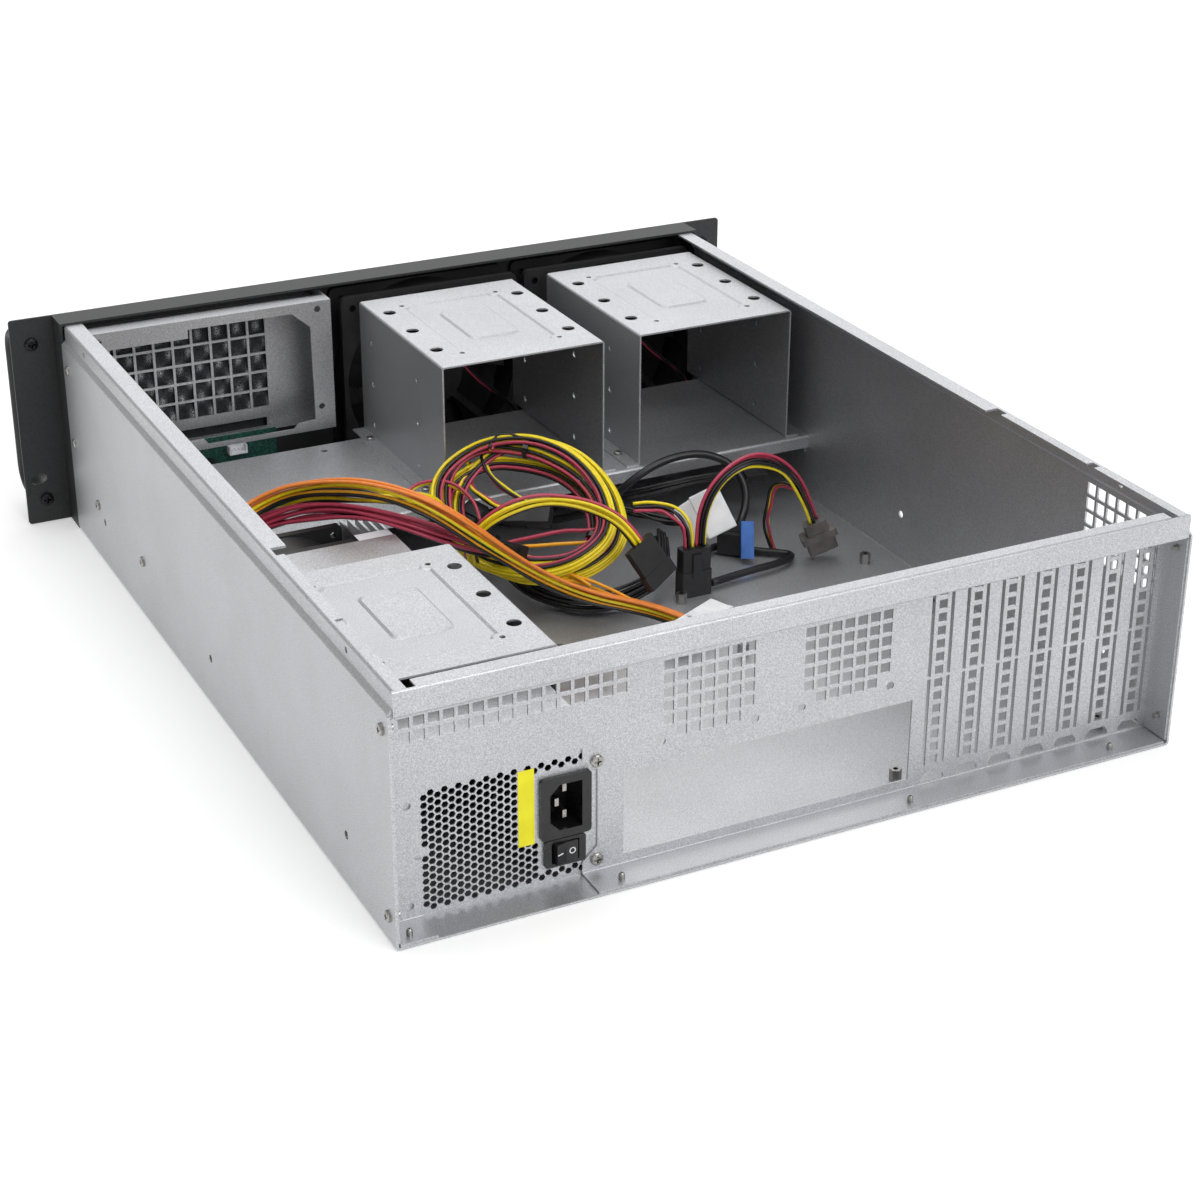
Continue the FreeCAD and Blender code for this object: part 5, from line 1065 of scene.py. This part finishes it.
class CASE_OT_stage(bpy.types.Operator):
    """Lays a pale floor under the case and lights it softly"""

    bl_idname = "case.stage"
    bl_label = "Stage"

    def execute(self, context):
        scene, looks = context.scene, context.scene.case_looks
        scene.view_settings.view_transform = "Standard"
        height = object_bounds()[0].z - FLOOR_DROP
        mesh = bpy.data.meshes.new("floor")
        sides = FLOOR_HALF * np.array([(-1, -1), (1, -1), (1, 1), (-1, 1)])
        mesh.from_pydata([(x, y, height) for x, y in sides], [], [(0, 1, 2, 3)])
        floor = bpy.data.objects.new("floor", mesh)
        scene.collection.objects.link(floor)
        floor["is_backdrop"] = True
        paper = bpy.data.materials.new("white_paper_sweep")
        paper.use_nodes = True
        tree = paper.node_tree
        tree.nodes.clear()
        straight, through = any_ray(tree, "Camera"), any_ray(tree, "Camera", "Glossy", "Transmission")
        lift = add(tree, "Math", {0: through, 1: looks.floor_lift}, operation="MULTIPLY")
        # The lamps hardly reach far, so to the camera the paper whitens with its distance.
        place = add(tree, "TexCoord").outputs["Object"]
        away = add(tree, "VectorMath", {0: place}, operation="LENGTH")
        near, end, glow = FLOOR_FADE
        far = add(tree, "MapRange", {"Value": away, "From Min": near, "From Max": end, "To Max": glow})
        far = add(tree, "Math", {0: far, 1: straight}, operation="MULTIPLY")
        glow = add(tree, "Emission", {"Strength": add(tree, "Math", {0: lift, 1: far}, operation="ADD")})
        diffuse = add(tree, "BsdfDiffuse", Color=linear(FLOOR_TONE))
        both = add(tree, "AddShader", {0: diffuse, 1: glow})
        add(tree, "OutputMaterial", {"Surface": both})
        mesh.materials.append(paper)

        world = bpy.data.worlds.new("studio")
        scene.world = world
        world.use_nodes = True
        tree = world.node_tree
        tree.nodes.clear()
        through = any_ray(tree, "Camera", "Transmission")
        soft = add(tree, "Background", Color=linear("#FFFFFF"), Strength=looks.sky)
        white = add(tree, "Background", Color=linear("#FFFFFF"), Strength=1.0)
        add(tree, "OutputWorld", {"Surface": add(tree, "MixShader", {0: through, 1: soft, 2: white})})

        for name, (place, aim, size) in LAMPS.items():
            lamp = bpy.data.lights.new(name, "AREA")
            lamp.shape = "SQUARE"
            lamp.size = size
            lamp.energy = getattr(looks, name)
            holder = bpy.data.objects.new(name, lamp)
            back = unit(np.subtract(place, aim))
            holder.matrix_world = pointed(place, unit(np.cross([0, 0.01, 1], back)), back)
            holder.visible_camera = False
            scene.collection.objects.link(holder)
        return {"FINISHED"}


class CaseLooks(bpy.types.PropertyGroup):
    """Colours and light levels of the dressed case"""

    steel_light: bpy.props.StringProperty(
        name="Steel Light", description="Light grains of the galvanised sheet, sRGB hex", default="#E0E1E3")
    steel_dark: bpy.props.StringProperty(
        name="Steel Dark", description="Dark grains of the galvanised sheet, sRGB hex", default="#9A9BA0")
    floor_lift: bpy.props.FloatProperty(
        name="Floor Lift", description="Glow that whitens the floor", default=0.32, min=0, max=1)
    sky: bpy.props.FloatProperty(
        name="Sky", description="Strength of the soft light from all round", default=0.48, min=0, max=2)
    key: bpy.props.FloatProperty(
        name="Key Lamp", description="Lamp behind the rear panel's side", default=48, min=0, unit="POWER")
    top: bpy.props.FloatProperty(
        name="Top Lamp", description="Lamp above the case", default=38, min=0, unit="POWER")
    back: bpy.props.FloatProperty(
        name="Back Lamp", description="Broad lamp that the flat tops mirror", default=42, min=0, unit="POWER")
    fill: bpy.props.FloatProperty(
        name="Fill Lamp", description="Lamp towards the side wall", default=0, min=0, unit="POWER")


OPERATORS = (
    CASE_OT_camera,
    CASE_OT_finishes,
    CASE_OT_supply_leads,
    CASE_OT_coil,
    CASE_OT_drive_leads,
    CASE_OT_front_leads,
    CASE_OT_loose_wires,
    CASE_OT_supply_shell,
    CASE_OT_screws,
    CASE_OT_filter,
    CASE_OT_stage,
)


class CASE_PT_panel(bpy.types.Panel):
    """Lists the case's operators"""

    bl_idname = "CASE_PT_panel"
    bl_label = "Rack Case"
    bl_space_type = "VIEW_3D"
    bl_region_type = "UI"
    bl_category = "Rack Case"

    def draw(self, context):
        for operator in OPERATORS:
            self.layout.operator(operator.bl_idname)
        for name in CaseLooks.__annotations__:
            self.layout.prop(context.scene.case_looks, name)


CLASSES = (CaseLooks,) + OPERATORS + (CASE_PT_panel,)


def register():
    for one in CLASSES:
        bpy.utils.register_class(one)
    bpy.types.Scene.case_looks = bpy.props.PointerProperty(type=CaseLooks)


def unregister():
    del bpy.types.Scene.case_looks
    for one in reversed(CLASSES):
        bpy.utils.unregister_class(one)


def main():
    register()
    for operator in OPERATORS:
        group, name = operator.bl_idname.split(".")
        if getattr(getattr(bpy.ops, group), name)() != {"FINISHED"}:
            raise RuntimeError(operator.bl_label + " didn't finish")


if __name__ == "__main__":
    main()
